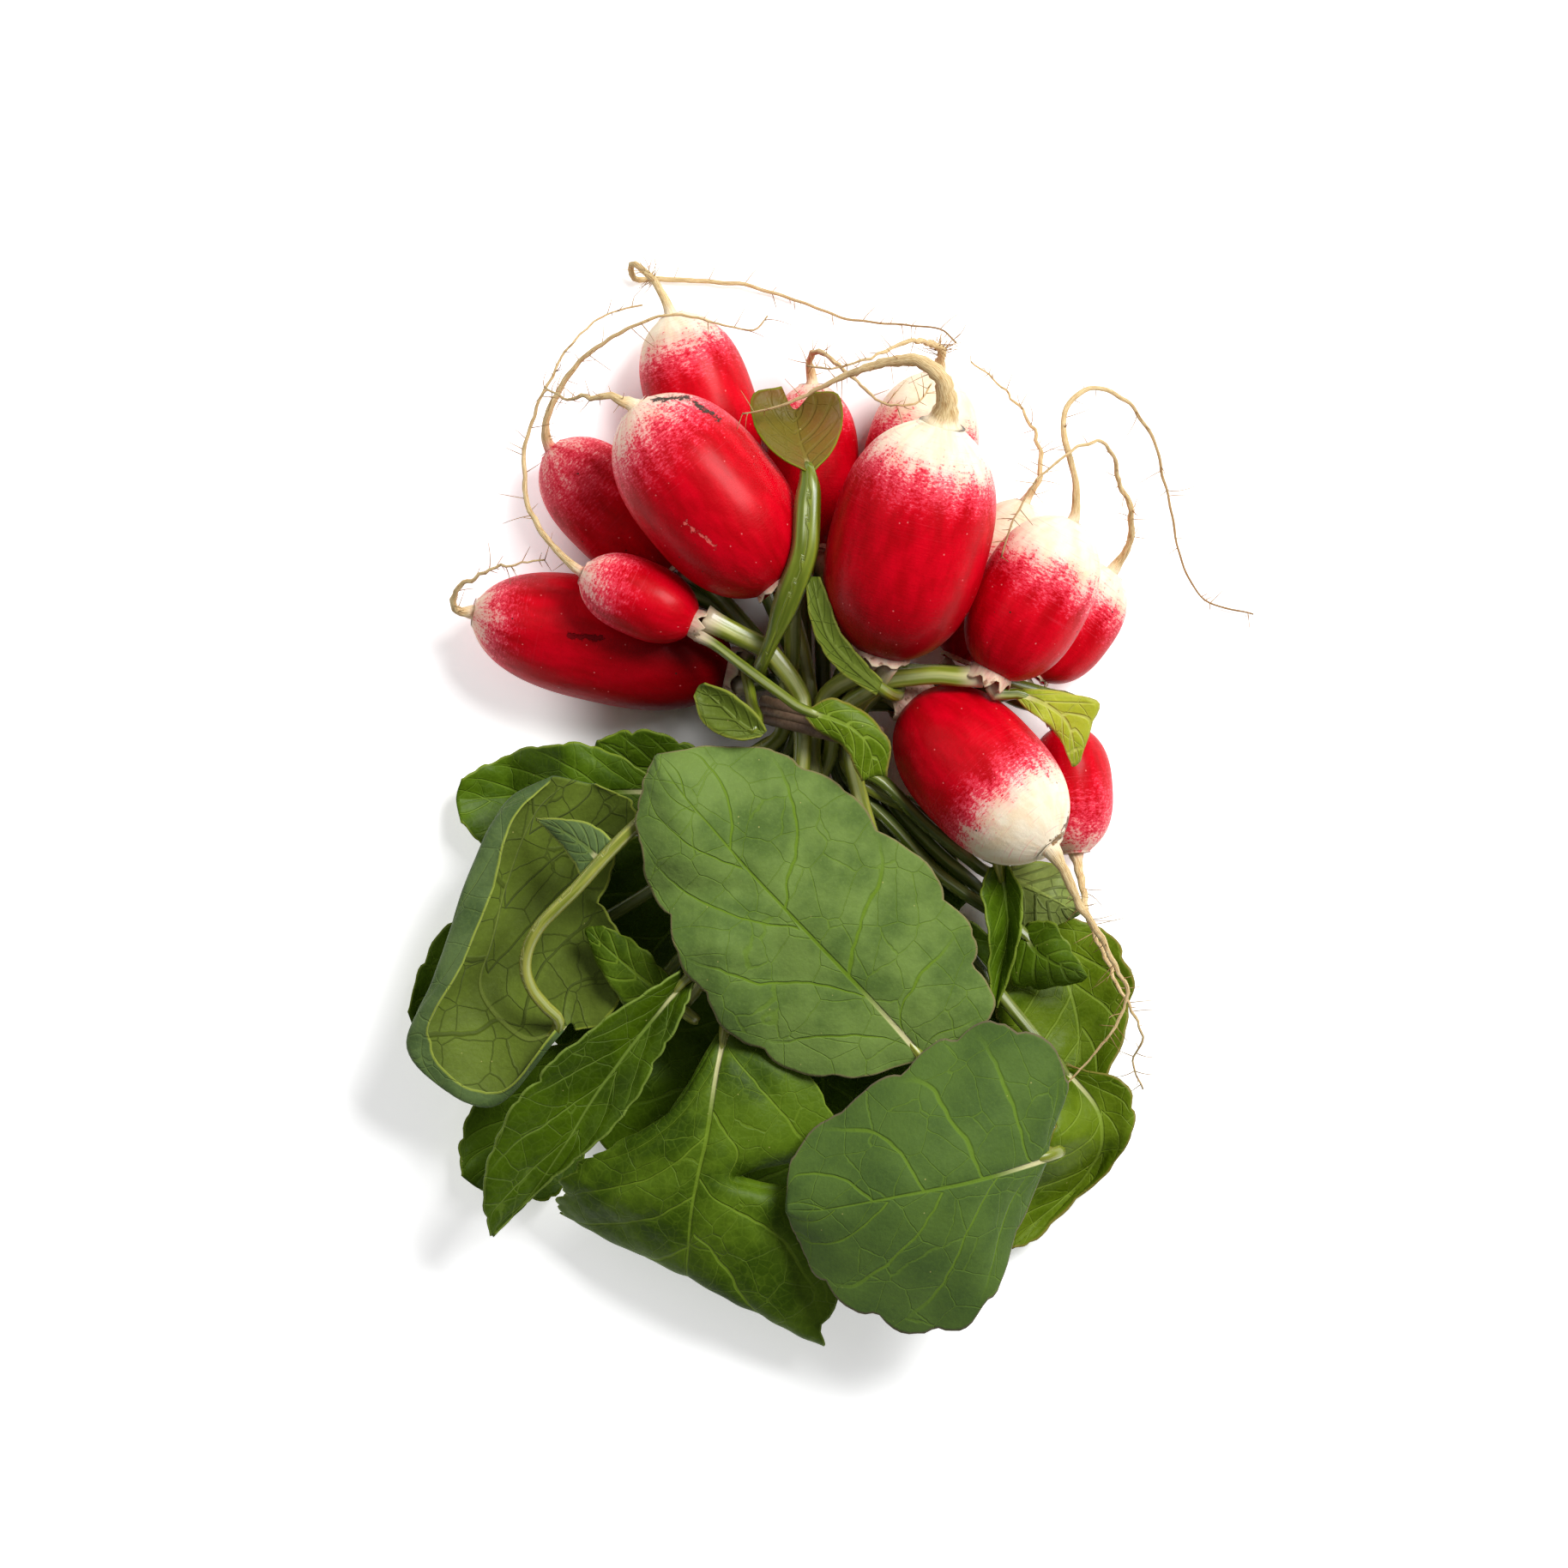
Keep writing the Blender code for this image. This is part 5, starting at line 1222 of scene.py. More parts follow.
def round_about(aside, up, turn):
    """Unit vectors that turn from aside over up, for each place along a path."""
    ring = 2 * math.pi * turn[None, :, None]
    return aside[..., None, :] * np.cos(ring) + up[..., None, :] * np.sin(ring)


def tube_points(path, radii, sides, profile=None):
    """Rings of points round a path, closed to a point at both ends, with turn, run and share."""
    aside, up = (np.vstack([v[:1], v, v[-1:]]) for v in path_frames(path))
    path = np.vstack([path[:1], path, path[-1:]])
    radii = np.concatenate([[0], radii, [0]])
    turn = np.linspace(0, 1, sides + 1)
    reach = 1.0 if profile is None else profile(2 * math.pi * turn, len(path))
    wide = radii[:, None] * np.broadcast_to(reach, (len(path), sides + 1))
    points = path[:, None] + wide[..., None] * round_about(aside, up, turn)
    run = run_along(path)
    numbers = np.stack(np.broadcast_arrays(turn[None], run[:, None], run[:, None] / run[-1]), axis=-1)
    return points, numbers


def wander(seed, count, size):
    """Smooth irregular numbers round zero, with so many of the longest waves."""
    picks = np.random.default_rng(seed)
    at = np.linspace(0, 1, count) * size
    waves = (
        picks.normal() / k**0.7 * np.sin(2 * math.pi * (k * at + picks.random())) for k in range(1, 6)
    )
    return sum(waves) / 2.2


# Bulbs

def bulb_route(radish):
    """The bulb's axis and the root's path as one line, with the distance along it and the radii."""
    crown, tip, forward, length = radish.axis()
    size = radish.width / 2
    share = 0.5 - 0.5 * np.cos(np.linspace(0, math.pi, BULB_RINGS))
    axis = crown + share[:-1, None] * (tip - crown)
    root = smooth_path([tip - forward * 1.5, tip, *radish.tail], ROOT_STEP)[1:]
    lively = np.stack([wander(seed_of(radish.name) + k, len(root), 3.5) for k in range(3)], axis=1)
    fade = np.linspace(0, 1, len(root))[:, None]
    root = root + lively * ROOT_SWAY * np.sin(math.pi * fade) ** 0.7
    along_root = np.linspace(0, 1, len(root))
    path = np.vstack([axis, root])
    bulb = np.concatenate([bulb_share(share[:-1]) * size, np.zeros(len(root))])
    neck = size * (NECK_SHARE - 0.02) * (1 - share[:-1] / 0.06).clip(0, 1) ** 0.5
    bulb[: len(neck)] = np.maximum(bulb[: len(neck)], neck)
    base_width = radish.tail_width * min(1.0, 0.62 + 0.09 * max(radish.tail_width - 2.6, 0) ** 2)
    widths = ROOT_END_WIDTH + (base_width - ROOT_END_WIDTH) * (1 - along_root) ** 1.7
    knots = 1 + 0.14 * wander(seed_of(radish.name) + 9, len(root), 9)
    tail = np.concatenate([np.full(len(axis), radish.tail_width / 2), widths / 2 * knots])
    run = run_along(path)
    flare = 1 + 1.0 * np.exp(-np.maximum(run - length, 0) / 2.2)
    tail = np.where(run > 0.75 * length, tail * flare, 0)
    radii = (bulb**5 + tail**5) ** 0.2
    return path, radii, run, length


def seed_of(name):
    """A seed of its own for each name."""
    return SEED + sum(ord(c) * (k + 1) for k, c in enumerate(name))


def bulb_piece(radish, look, finish):
    """A turned bulb that runs out into its root."""
    path, radii, run, length = bulb_route(radish)
    points, _ = tube_points(path, radii, BULB_SIDES)
    run = np.concatenate([run[:1], run, run[-1:]])
    seed = seed_of(radish.name)
    picks = np.random.default_rng(seed)
    ring = 2 * math.pi * np.linspace(0, 1, BULB_SIDES + 1)
    share = run[:, None] / length
    swell = sum(
        picks.normal() * 0.009 * np.sin(k * ring[None] + picks.random() * 6 + share * picks.normal() * 2)
        for k in (1, 2, 3)
    )
    middle = np.vstack([path[:1], path, path[-1:]])[:, None]
    inside = (run < length)[:, None, None]
    points = np.where(inside, middle + (points - middle) * (1 + swell[..., None]), points)
    points[..., 2] = np.maximum(points[..., 2], 0.05)
    size = radish.width / 2
    local = np.stack(np.broadcast_arrays(
        size * np.cos(ring)[None], size * np.sin(ring)[None], run[:, None] + seed % 97), axis=-1)
    ripe = (look.white_from * length - run) / look.spread
    root = np.clip((run - length + 0.5) / 5.0, 0, 1)
    state = np.stack([ripe, root, run], axis=-1)[:, None] + np.zeros((1, BULB_SIDES + 1, 1))
    piece = round_piece(radish.name + "_skin", points, {"bulb_place": local, "bulb_look": state})
    piece.data.materials.append(finish)
    return piece, path, run[1:-1], length


def root_hairs(radish, path, run, length, finish):
    """Fine side roots."""
    picks = np.random.default_rng(seed_of(radish.name) + 3)
    tail = np.flatnonzero(run > length + 2)
    pieces = []
    from_tip, spread, tangle = TANGLED_ROOTS.get(radish.name, (0.0, 1.0, 0))
    for k in range(HAIRS + tangle):
        start = int(picks.choice(tail))
        if k >= HAIRS:
            start = int(np.abs(run - length - from_tip - spread * picks.random()).argmin())
        way = picks.normal(size=3)
        ahead = path[min(start + 1, len(path) - 1)] - path[start - 1]
        ahead /= np.linalg.norm(ahead)
        way -= (way @ ahead) * ahead
        way = way / np.linalg.norm(way) + 0.4 * ahead
        reach = picks.uniform(*HAIR_LENGTHS)
        at = np.linspace(0, 1, HAIR_POINTS)[:, None]
        bend = np.cross(ahead, way) * picks.normal() * 0.45
        line = path[start] + reach * (at * way + at**2 * bend) + (0, 0, -0.8) * at**2
        line[:, 2] = np.maximum(line[:, 2], 0.15)
        rings, _ = tube_points(line, np.linspace(*HAIR_RADII, HAIR_POINTS), HAIR_SIDES)
        state = np.zeros((*rings.shape[:2], 3))
        state[...] = (-20, 1, 130)
        hair = round_piece(f"{radish.name}_hair_{k}", rings, {"bulb_place": rings, "bulb_look": state})
        hair.data.materials.append(finish)
        pieces.append(hair)
    return pieces


def crown_scales(radish, look, finish):
    """A ragged papery collar round the crown, open towards the stalks."""
    crown, _, axis, _ = radish.axis()
    aside = np.cross(axis, (0, 0, 1.0))
    aside /= np.linalg.norm(aside)
    up = np.cross(aside, axis)
    seed = seed_of(radish.name) + 5
    columns, rows = SCALE_GRID
    turn = np.linspace(0, 1, columns + 1)
    ragged = 0.5 + 0.5 * wander(seed, columns + 1, 2)
    ragged[-1] = ragged[0]
    reach = np.linspace(0, 1, rows + 1)[:, None]
    back = 1.2 - reach * (look.scales * np.clip(ragged, 0.15, 1.2))[None]
    wide = radish.width / 2 * NECK_SHARE + reach * 0.4 + 0.7 * reach * wander(seed + 1, columns + 1, 2)[None]
    wide[:, -1], back[:, -1] = wide[:, 0], back[:, 0]
    points = crown + back[..., None] * axis + wide[..., None] * round_about(aside, up, turn)
    points[..., 2] = np.maximum(points[..., 2], 0.1)
    state = np.stack(np.broadcast_arrays(turn[None], back, reach), axis=-1)
    piece = sheet_piece(radish.name + "_scales", points, {"stalk_place": state})
    piece.data.materials.append(finish)
    thicken(piece, SCALE_THICKNESS)
    return piece


def thicken(piece, thickness, **settings):
    """Gives a sheet its thickness, evenly to both sides."""
    bpy.context.view_layer.objects.active = piece
    solid = piece.modifiers.new("thickness", "SOLIDIFY")
    solid.thickness = thickness * MM
    solid.offset = 0
    for key, value in settings.items():
        setattr(solid, key, value)
    bpy.ops.object.modifier_apply(modifier=solid.name)


# Leaves

def fine_blade(lines, teeth, cut, wave, relief):
    """A blade on a fine grid, with its veins sunk, and the numbers that its finish reads."""
    rough = blade_surface(lines, teeth, cut, wave, *ROUGH_GRID)
    length = run_along(rough[:, ROUGH_GRID[1] // 2])[-1]
    width = np.linalg.norm(np.diff(rough, axis=1), axis=2).sum(1).max()
    rows = int(np.clip(length / LEAF_CELL, 16, 150))
    columns = 2 * int(np.clip(width / LEAF_CELL / 2, 4, 45))
    grid = blade_surface(lines, teeth, cut, wave, rows, columns)
    share = np.linspace(0, 1, rows + 1)[:, None]
    side = np.linspace(-1, 1, columns + 1)[None]
    steps = np.linalg.norm(np.diff(grid, axis=1), axis=2)
    across = np.concatenate([np.zeros((rows + 1, 1)), np.cumsum(steps, axis=1)], axis=1)
    across -= across[:, columns // 2 : columns // 2 + 1]
    half = np.where(side < 0, -across[:, :1], across[:, -1:])
    edge = half - np.abs(across)
    middle = grid[:, columns // 2 : columns // 2 + 1]
    count = round(length / TOOTH_STEP)
    uneven = 0.75 + 0.45 * wander(rows + columns, rows + 1, 5)[:, None]
    notch = 1 - np.abs(np.sin(math.pi * (count * share + 0.3 * (side < 0)))) ** 0.6
    dent = 2 * relief * uneven * notch * np.exp(-edge / 1.8) * np.sin(math.pi * share).clip(0, 1) ** 0.3
    grid = grid + (middle - grid) * (dent / np.maximum(half, 1.0))[..., None]
    order = VEIN_PAIRS * (share + VEIN_SLANT * (1 - np.abs(side))) + np.where(side < 0, 0.35, 0.0)
    bulge = np.abs(np.sin(math.pi * order)) ** 0.7 * np.sin(math.pi * np.abs(side)) ** 0.7
    blister = np.sin(across * 0.9 + 3 * share) * np.sin(share * length * 0.8) * 0.18
    groove = -0.55 * np.exp(-((across / 1.1) ** 2)) * (1 - share)
    height = relief * (bulge * 0.9 + blister + groove) * np.clip(np.sin(math.pi * share), 0, 1) ** 0.3
    normal = np.cross(np.gradient(grid, axis=1), np.gradient(grid, axis=0))
    normal /= np.linalg.norm(normal, axis=2)[..., None] + 1e-9
    grid = grid + normal * height[..., None]
    place = np.stack(np.broadcast_arrays(side, order, edge), axis=-1)
    size = np.stack(np.broadcast_arrays(across, share, length / VEIN_PAIRS * 0.6), axis=-1)
    return grid, {"leaf_place": place, "leaf_size": size}


def stalk_profile(ring, count):
    """A stalk is flattened and grooved along its upper side."""
    up = (ring / math.pi - 0.5 + 1) % 2 - 1
    reach = 1 - 0.24 * np.exp(-((up / 0.16) ** 2)) + 0.05 * np.cos(5 * ring)
    return np.broadcast_to(reach, (count, len(ring)))


def strap_profile(ring, count):
    """The heart's stalk widens to a ribbed strap on its upper half."""
    share = np.linspace(0, 1, count)[:, None]
    broad = 0.5 + 0.5 * np.tanh((share - 0.42) / 0.05) - (0.5 + 0.5 * np.tanh((share - 0.80) / 0.04))
    ribs = 1 + 0.10 * np.cos(7 * ring)
    return np.hypot((1 - 0.25 * broad) * np.cos(ring), (1 + 1.1 * broad) * np.sin(ring)) * ribs


def stalk_piece(leaf, grid, coarse, stalk, finish):
    """A grooved stalk that goes on as the midrib under the blade."""
    points, radii = stalk_line(leaf, coarse, stalk)
    middle = grid.shape[1] // 2
    line = grid[:, middle]
    begin = max(2, int(0.08 * len(line)))
    rib = line[begin : int(0.75 * len(line)) : 3]
    ahead = 2 if leaf.from_below else 1
    led = points[:: 2 if len(points) > 8 else 1][:-1]
    path = smooth_path(np.vstack([led, points[-ahead:], rib]), RIB_STEP)
    share = np.linspace(0, 1, len(path))
    at_base = np.linalg.norm(path - line[0], axis=1).argmin()
    thick = np.interp(np.arange(len(path)), np.linspace(0, at_base, len(radii)), radii)
    on_blade = np.clip((np.arange(len(path)) - at_base) / 3, 0, 1)
    thin = 0.2 + 0.6 * np.clip((1 - share) / (1 - share[at_base] + 1e-6), 0, 1)
    thick += on_blade * (np.minimum(thick, thin) - thick)
    thick = thick * (1 + 0.35 * np.exp(-share * len(path) * RIB_STEP / 2.5))
    normal = np.cross(np.gradient(grid, axis=1)[:, middle], np.gradient(line, axis=0))
    normal *= np.sign(normal[:, 2:]) / np.linalg.norm(normal, axis=1)[:, None]
    lift = normal[np.linalg.norm(path[:, None] - line, axis=2).argmin(1)]
    path = path - lift * (on_blade * (thick + 0.15))[:, None]
    profile = strap_profile if leaf.name == "leaf_heart" else stalk_profile
    rings, numbers = tube_points(path, thick, STALK_SIDES, profile=profile)
    piece = round_piece(leaf.name + "_stalk", rings, {"stalk_place": numbers})
    piece.data.materials.append(finish)
    return piece


def leaf_piece(leaf, laid, stalk, finishes):
    """A leaf's blades and stalk as one piece."""
    upper, under, stalks = finishes
    pieces = []
    for k, (grid, numbers) in enumerate(laid.fine):
        blade = sheet_piece(leaf.name + ("_blade" if k == 0 else "_lobe"), grid, numbers)
        blade.data.materials.append(upper)
        blade.data.materials.append(under)
        thicken(blade, LEAF_THICKNESS, material_offset=1)
        pieces.append(blade)
    pieces.append(stalk_piece(leaf, laid.fine[0][0], laid.coarse[0], stalk, stalks))
    return joined(pieces)


class Laid(NamedTuple):
    """A leaf laid on the heap: its blades as coarse grids, its stalk's points, its fine blades."""

    coarse: list
    after: np.ndarray
    fine: list


def laid_blades():
    """Every leaf laid on the heap, and the field of the low blades."""
    field = HeightField()
    laid = {}

    def lay(leaf):
        rows = 2 * leaf.teeth
        points = leaf_surface(leaf, rows, leaf.across)
        triangles = grid_triangles(rows, leaf.across)
        rise = field.rise(points.reshape(-1, 3), triangles)
        sheets = [points]
        relief = LEAF_RELIEF.get(leaf.name, PLAIN_RELIEF)
        finer = FINE_LINES.get(leaf.name, {})
        lines = [finer.get(k, line) for k, line in enumerate(leaf.lines)]
        fine = [fine_blade(lines, leaf.teeth, leaf.cut, leaf.wave, relief)]
        if leaf.lobe:
            sheets.append(blade_surface(leaf.lobe, *LOBE_SHAPE, 4, 2))
            fine.append(fine_blade(leaf.lobe, *LOBE_SHAPE, LOBE_RELIEF))
        after = np.array(leaf.after, float).reshape(-1, 3)
        for block in (*sheets, after, *(grid for grid, _ in fine)):
            block[..., 2] += field.sample(rise, block[..., 0], block[..., 1])
        field.add_sheet(points.reshape(-1, 3), triangles)
        if leaf.after:
            field.add_rod(smooth_path([*after, points[0].mean(0)], 1.0), leaf.stalk / 2)
        laid[leaf.name] = Laid(sheets, after, fine)

    for leaf in LOW_LEAVES:
        lay(leaf)
    low_top = field.top.copy()
    field.top = np.maximum(field.top, sheaf_top(field.x, field.y))
    for leaf in HIGH_LEAVES:
        lay(leaf)
    for leaf in SMALL_LEAVES:
        coarse = leaf_surface(leaf, 2 * leaf.teeth, leaf.across)
        fine = fine_blade(leaf.lines, leaf.teeth, leaf.cut, leaf.wave, SMALL_RELIEF)
        laid[leaf.name] = Laid([coarse], np.zeros((0, 3)), [fine])
    return laid, low_top


def band_slot(leaf):
    """Where the stalk passes the band."""
    return np.array(BAND_CENTRE) + (leaf.slot[0], 0, leaf.slot[1])


def stalk_starts(leaves):
    """Where each stalk leaves its crown, side by side, and the direction in which it sets out."""
    starts = {}
    for radish in RADISHES:
        crown, _, forward, _ = radish.axis()
        out = -forward
        aside = np.cross(out, (0, 0, 1))
        aside /= np.linalg.norm(aside)

        def bearing(leaf):
            way = np.array(leaf.before[0] if leaf.before else band_slot(leaf) + (0, 8, 0)) - crown
            return way @ aside / np.linalg.norm(way)

        mates = sorted((leaf for leaf in leaves if leaf.radish == radish.name), key=bearing)
        places = [0.0]
        for one, other in zip(mates, mates[1:]):
            places.append(places[-1] + (one.stalk + other.stalk) / 2 + 0.45)
        for leaf, place in zip(mates, places):
            starts[leaf.name] = (crown + aside * (place - places[-1] / 2), out)
    return starts


def first_route(leaf, start, out, base, after):
    """A stalk's route before the stalks push each other aside."""
    points = [start + 0.9 * out, start + 3 * out, *leaf.before]
    if leaf.banded:
        slot = band_slot(leaf)
        points += [slot + (0, 8, 0), slot, slot + (0, -8, 0)]
    return smooth_path([*points, *after, base], STALK_STEP)


def bulb_balls():
    """Balls that fill the bulbs, for the stalks to stay clear of."""
    centres, radii, names = [], [], []
    for radish in RADISHES:
        crown, tip, _, length = radish.axis()
        size = radish.width / 2
        for f in np.linspace(0.5 * size / length, 1 - 0.8 * size / length, 11):
            centres.append(crown + f * (tip - crown))
            radii.append(min(size * float(bulb_share(f)), 1.05 * f * length + 0.3))
            names.append(radish.name)
    return np.array(centres), np.array(radii), np.array(names)


def pushes(points, others, need, allowed):
    """How far each point is pushed by the others that are nearer than they need to be."""
    square = (points**2).sum(1)[:, None] + (others**2).sum(1) - 2 * points @ others.T
    need = np.broadcast_to(need, square.shape)
    one, other = np.nonzero(allowed & (square < need**2))
    gap = points[one] - others[other]
    far = np.linalg.norm(gap, axis=1) + 1e-9
    move = np.zeros_like(points)
    np.add.at(move, one, gap * (need[one, other] / far - 1)[:, None])
    return move, np.maximum(np.bincount(one, minlength=len(points)), 1)[:, None]


def relaxed_stalks(leaves, grids, routes, low_top):
    """Centre lines of all stalks, pushed apart where they would cross each other or a bulb."""
    field = HeightField()
    for axis in (0, 1):
        low_top = np.max([np.roll(low_top, k, axis) for k in (-2, -1, 0, 1, 2)], axis=0)
    starts = stalk_starts(leaves)
    chains = []
    for leaf in leaves:
        base = grids[leaf.name][0][0].mean(0) - ((0, 0, 4.5) if leaf.from_below else (0, 0, 0))
        chains.append(first_route(leaf, *starts[leaf.name], base, routes[leaf.name]))
    owner = np.concatenate([np.full(len(c), k) for k, c in enumerate(chains)])
    index = np.concatenate([np.arange(len(c)) for c in chains])
    place = np.concatenate([np.arange(len(c)) / (len(c) - 1) for c in chains])
    left = np.concatenate([len(c) - 1 - np.arange(len(c)) for c in chains])
    points = np.vstack(chains)
    leaf_of = [leaves[k] for k in owner]
    widths = np.array([leaf.stalk for leaf in leaf_of])
    radius = (widths + (STALK_END_WIDTH - widths).clip(max=0) * place) / 2
    banded = np.array([leaf.banded for leaf in leaf_of])
    low = np.array([leaf in LOW_LEAVES for leaf in leaf_of])
    led = np.zeros(len(points), bool)
    for k, leaf in enumerate(leaves):
        for guide in routes[leaf.name]:
            mine = np.flatnonzero(owner == k)
            led[mine[np.linalg.norm(points[mine] - guide, axis=1).argmin() :]] = True
            break
    fixed = (index < 2) | (place == 1) | led
    inner = np.flatnonzero(~fixed)
    balls, ball_radius, ball_names = bulb_balls()
    plants = np.array([leaf.radish for leaf in leaf_of])
    angle = np.linspace(0, 2 * math.pi, 24, endpoint=False)
    ring = (BAND_INSIDE[0] + BAND_STRAND) * np.cos(angle)
    height = (BAND_INSIDE[1] + BAND_STRAND) * np.sin(angle)
    ring = np.stack([ring, ring * math.tan(BAND_TURN), height], axis=1) + BAND_CENTRE
    ring_room = (BAND_STRAND + BAND_PITCH + radius + STALK_GAP)[:, None]
    clear_of_bulb = ~((plants[:, None] == ball_names[None]) & (index[:, None] < 2))
    apart = owner[:, None] != owner[None]
    room = radius[:, None] + radius[None] + STALK_GAP
    ball_room = ball_radius[None] + radius[:, None] + STALK_GAP
    centre = np.array(BAND_CENTRE)
    span = np.array([BAND_INSIDE[0], BAND_INSIDE[1]])[None] - radius[:, None] - 0.6
    for _ in range(RELAX_ROUNDS):
        pull = 0.5 * (points[inner - 1] + points[inner + 1]) - points[inner]
        points[inner] += STALK_STRAIGHTNESS * pull
        move, count = pushes(points, points, room, apart)
        shift = 0.42 * move / count**0.5
        move, count = pushes(points, balls, ball_room, clear_of_bulb)
        shift += move / count
        from_band = points[:, 1] - (points[:, 0] - centre[0]) * math.tan(BAND_TURN)
        move, count = pushes(points, ring, ring_room, (~banded | (np.abs(from_band) > 4))[:, None])
        shift += move / count
        points[inner] += shift[inner]
        off = (points[:, [0, 2]] - centre[[0, 2]]) / span
        size = np.linalg.norm(off, axis=1)
        squeeze = (np.abs(from_band) < BAND_HOLD) & banded & ~fixed & (size > 1)
        points[np.ix_(squeeze, [0, 2])] = (centre[[0, 2]] + off / size[:, None] * span)[squeeze]
        floor = field.sample(low_top, points[:, 0], points[:, 1]) + radius + 0.6
        free = ~fixed & ~(low & (left < 3))
        points[:, 2] = np.where(free, np.maximum(points[:, 2], floor), points[:, 2])
        roof = np.maximum(sheaf_top(points[:, 0], points[:, 1]) - radius - 0.5, floor)
        under = free & banded & (points[:, 1] < -5) & (sheaf_top(points[:, 0], points[:, 1]) > 0)
        points[:, 2] = np.where(under, np.minimum(points[:, 2], roof), points[:, 2])
    return {leaf.name: (points[owner == k], radius[owner == k]) for k, leaf in enumerate(leaves)}


def stalk_line(leaf, grid, stalk):
    """The stalk's centre line and radii, with its end sunk into the blade."""
    points, radius = stalk
    middle = grid.shape[1] // 2
    base = grid[0].mean(0)
    if leaf.from_below:
        ahead = grid[1, middle] - grid[0, middle]
        ahead /= np.linalg.norm(ahead)
        dip = 0.5 * (points[-1] + base) - 3.2 * ahead
        hook = smooth_path([points[-1], dip, base, base + 3 * ahead], 1.2)
    else:
        hook = np.array([points[-1], 0.4 * grid[0, middle] + 0.6 * grid[1, middle]])
    radii = np.concatenate([radius, np.full(len(hook) - 1, radius[-1])])
    return np.vstack([points, hook[1:]]), radii


# Band and lights

def ring_piece(name, path, radius, finish):
    """A closed ring of a strand, slightly squared and grooved."""
    count = len(path)
    path = np.vstack([path, path[:1]])
    centre = path[:-1].mean(0)
    ahead = np.roll(path[:-1], -1, axis=0) - np.roll(path[:-1], 1, axis=0)
    ahead = np.vstack([ahead, ahead[:1]])
    ahead /= np.linalg.norm(ahead, axis=1)[:, None]
    out = path - centre
    out -= (out * ahead).sum(1)[:, None] * ahead
    out /= np.linalg.norm(out, axis=1)[:, None]
    aside = np.cross(ahead, out)
    turn = np.linspace(0, 1, BAND_SIDES + 1)
    reach = 1 - 0.06 * np.cos(4 * 2 * math.pi * turn)
    uneven = 1 + 0.05 * np.sin(np.linspace(0, 2 * math.pi, count + 1) * 9)
    wide = radius * reach[None, :, None] * uneven[:, None, None]
    points = path[:, None] + wide * round_about(aside, out, turn)
    piece = round_piece(name, points, {})
    piece.data.materials.append(finish)
    return piece


def soft_light(name, place, aim, size, power):
    """A square soft box that looks at a point."""
    bpy.ops.object.light_add(type="AREA", location=place)
    light = bpy.context.object
    light.name = name
    light.data.size = size
    light.data.energy = power
    light.rotation_mode = "QUATERNION"
    light.rotation_quaternion = (Vector(aim) - Vector(place)).to_track_quat("-Z", "Y")


# Settings, operators and panel

class BulbSettings(bpy.types.PropertyGroup):
    """Colours of the bulbs."""

    red: bpy.props.FloatVectorProperty(
        name="Red", description="Skin of the ripe flank", subtype="COLOR", size=3, min=0, max=1,
        default=srgb(204, 0, 24))
    deep_red: bpy.props.FloatVectorProperty(
        name="Deep red", description="Darker patches of the skin", subtype="COLOR", size=3, min=0, max=1,
        default=srgb(174, 0, 13))
    pink: bpy.props.FloatVectorProperty(
        name="Pink", description="Specks where the red breaks up", subtype="COLOR", size=3, min=0, max=1,
        default=srgb(222, 22, 62))
    tip_cream: bpy.props.FloatVectorProperty(
        name="Cream", description="Bare tip", subtype="COLOR", size=3, min=0, max=1,
        default=srgb(240, 226, 200))


class BandSettings(bpy.types.PropertyGroup):
    """Size and colour of the band."""

    rubber: bpy.props.FloatVectorProperty(
        name="Rubber", description="Colour of the band", subtype="COLOR", size=3, min=0, max=1,
        default=srgb(108, 84, 64))
    strand: bpy.props.FloatProperty(
        name="Strand", description="Radius of one strand", subtype="DISTANCE", unit="LENGTH",
        default=BAND_STRAND * MM, min=0.0002)


class StageSettings(bpy.types.PropertyGroup):
    """The table, the light and the camera."""

    table: bpy.props.FloatVectorProperty(
        name="Table", description="Colour of the table", subtype="COLOR", size=3, min=0, max=1,
        default=(0.93, 0.93, 0.93))
    table_side: bpy.props.FloatProperty(
        name="Table side", description="Length of the table's sides", subtype="DISTANCE", unit="LENGTH",
        default=6.0, min=0.5)
    camera_height: bpy.props.FloatProperty(
        name="Camera height", description="Height of the camera above the table", subtype="DISTANCE",
        unit="LENGTH", default=3.0, min=0.5)


class BUNCH_OT_bulbs(bpy.types.Operator):
    """Turns the bulbs with their roots and the scales of their crowns"""

    bl_idname = "bunch.bulbs"
    bl_label = "Bulbs and Roots"

    def execute(self, context):
        skin = skin_finish(context.scene.bunch_bulbs)
        scales = scale_finish()
        for radish in RADISHES:
            look = BULB_LOOKS[radish.name]
            body, *route = bulb_piece(radish, look, skin)
            pieces = [body, *root_hairs(radish, *route, skin), crown_scales(radish, look, scales)]
            piece = smoothed(joined(pieces))
            stand_for(piece, radish.name)
        return {"FINISHED"}


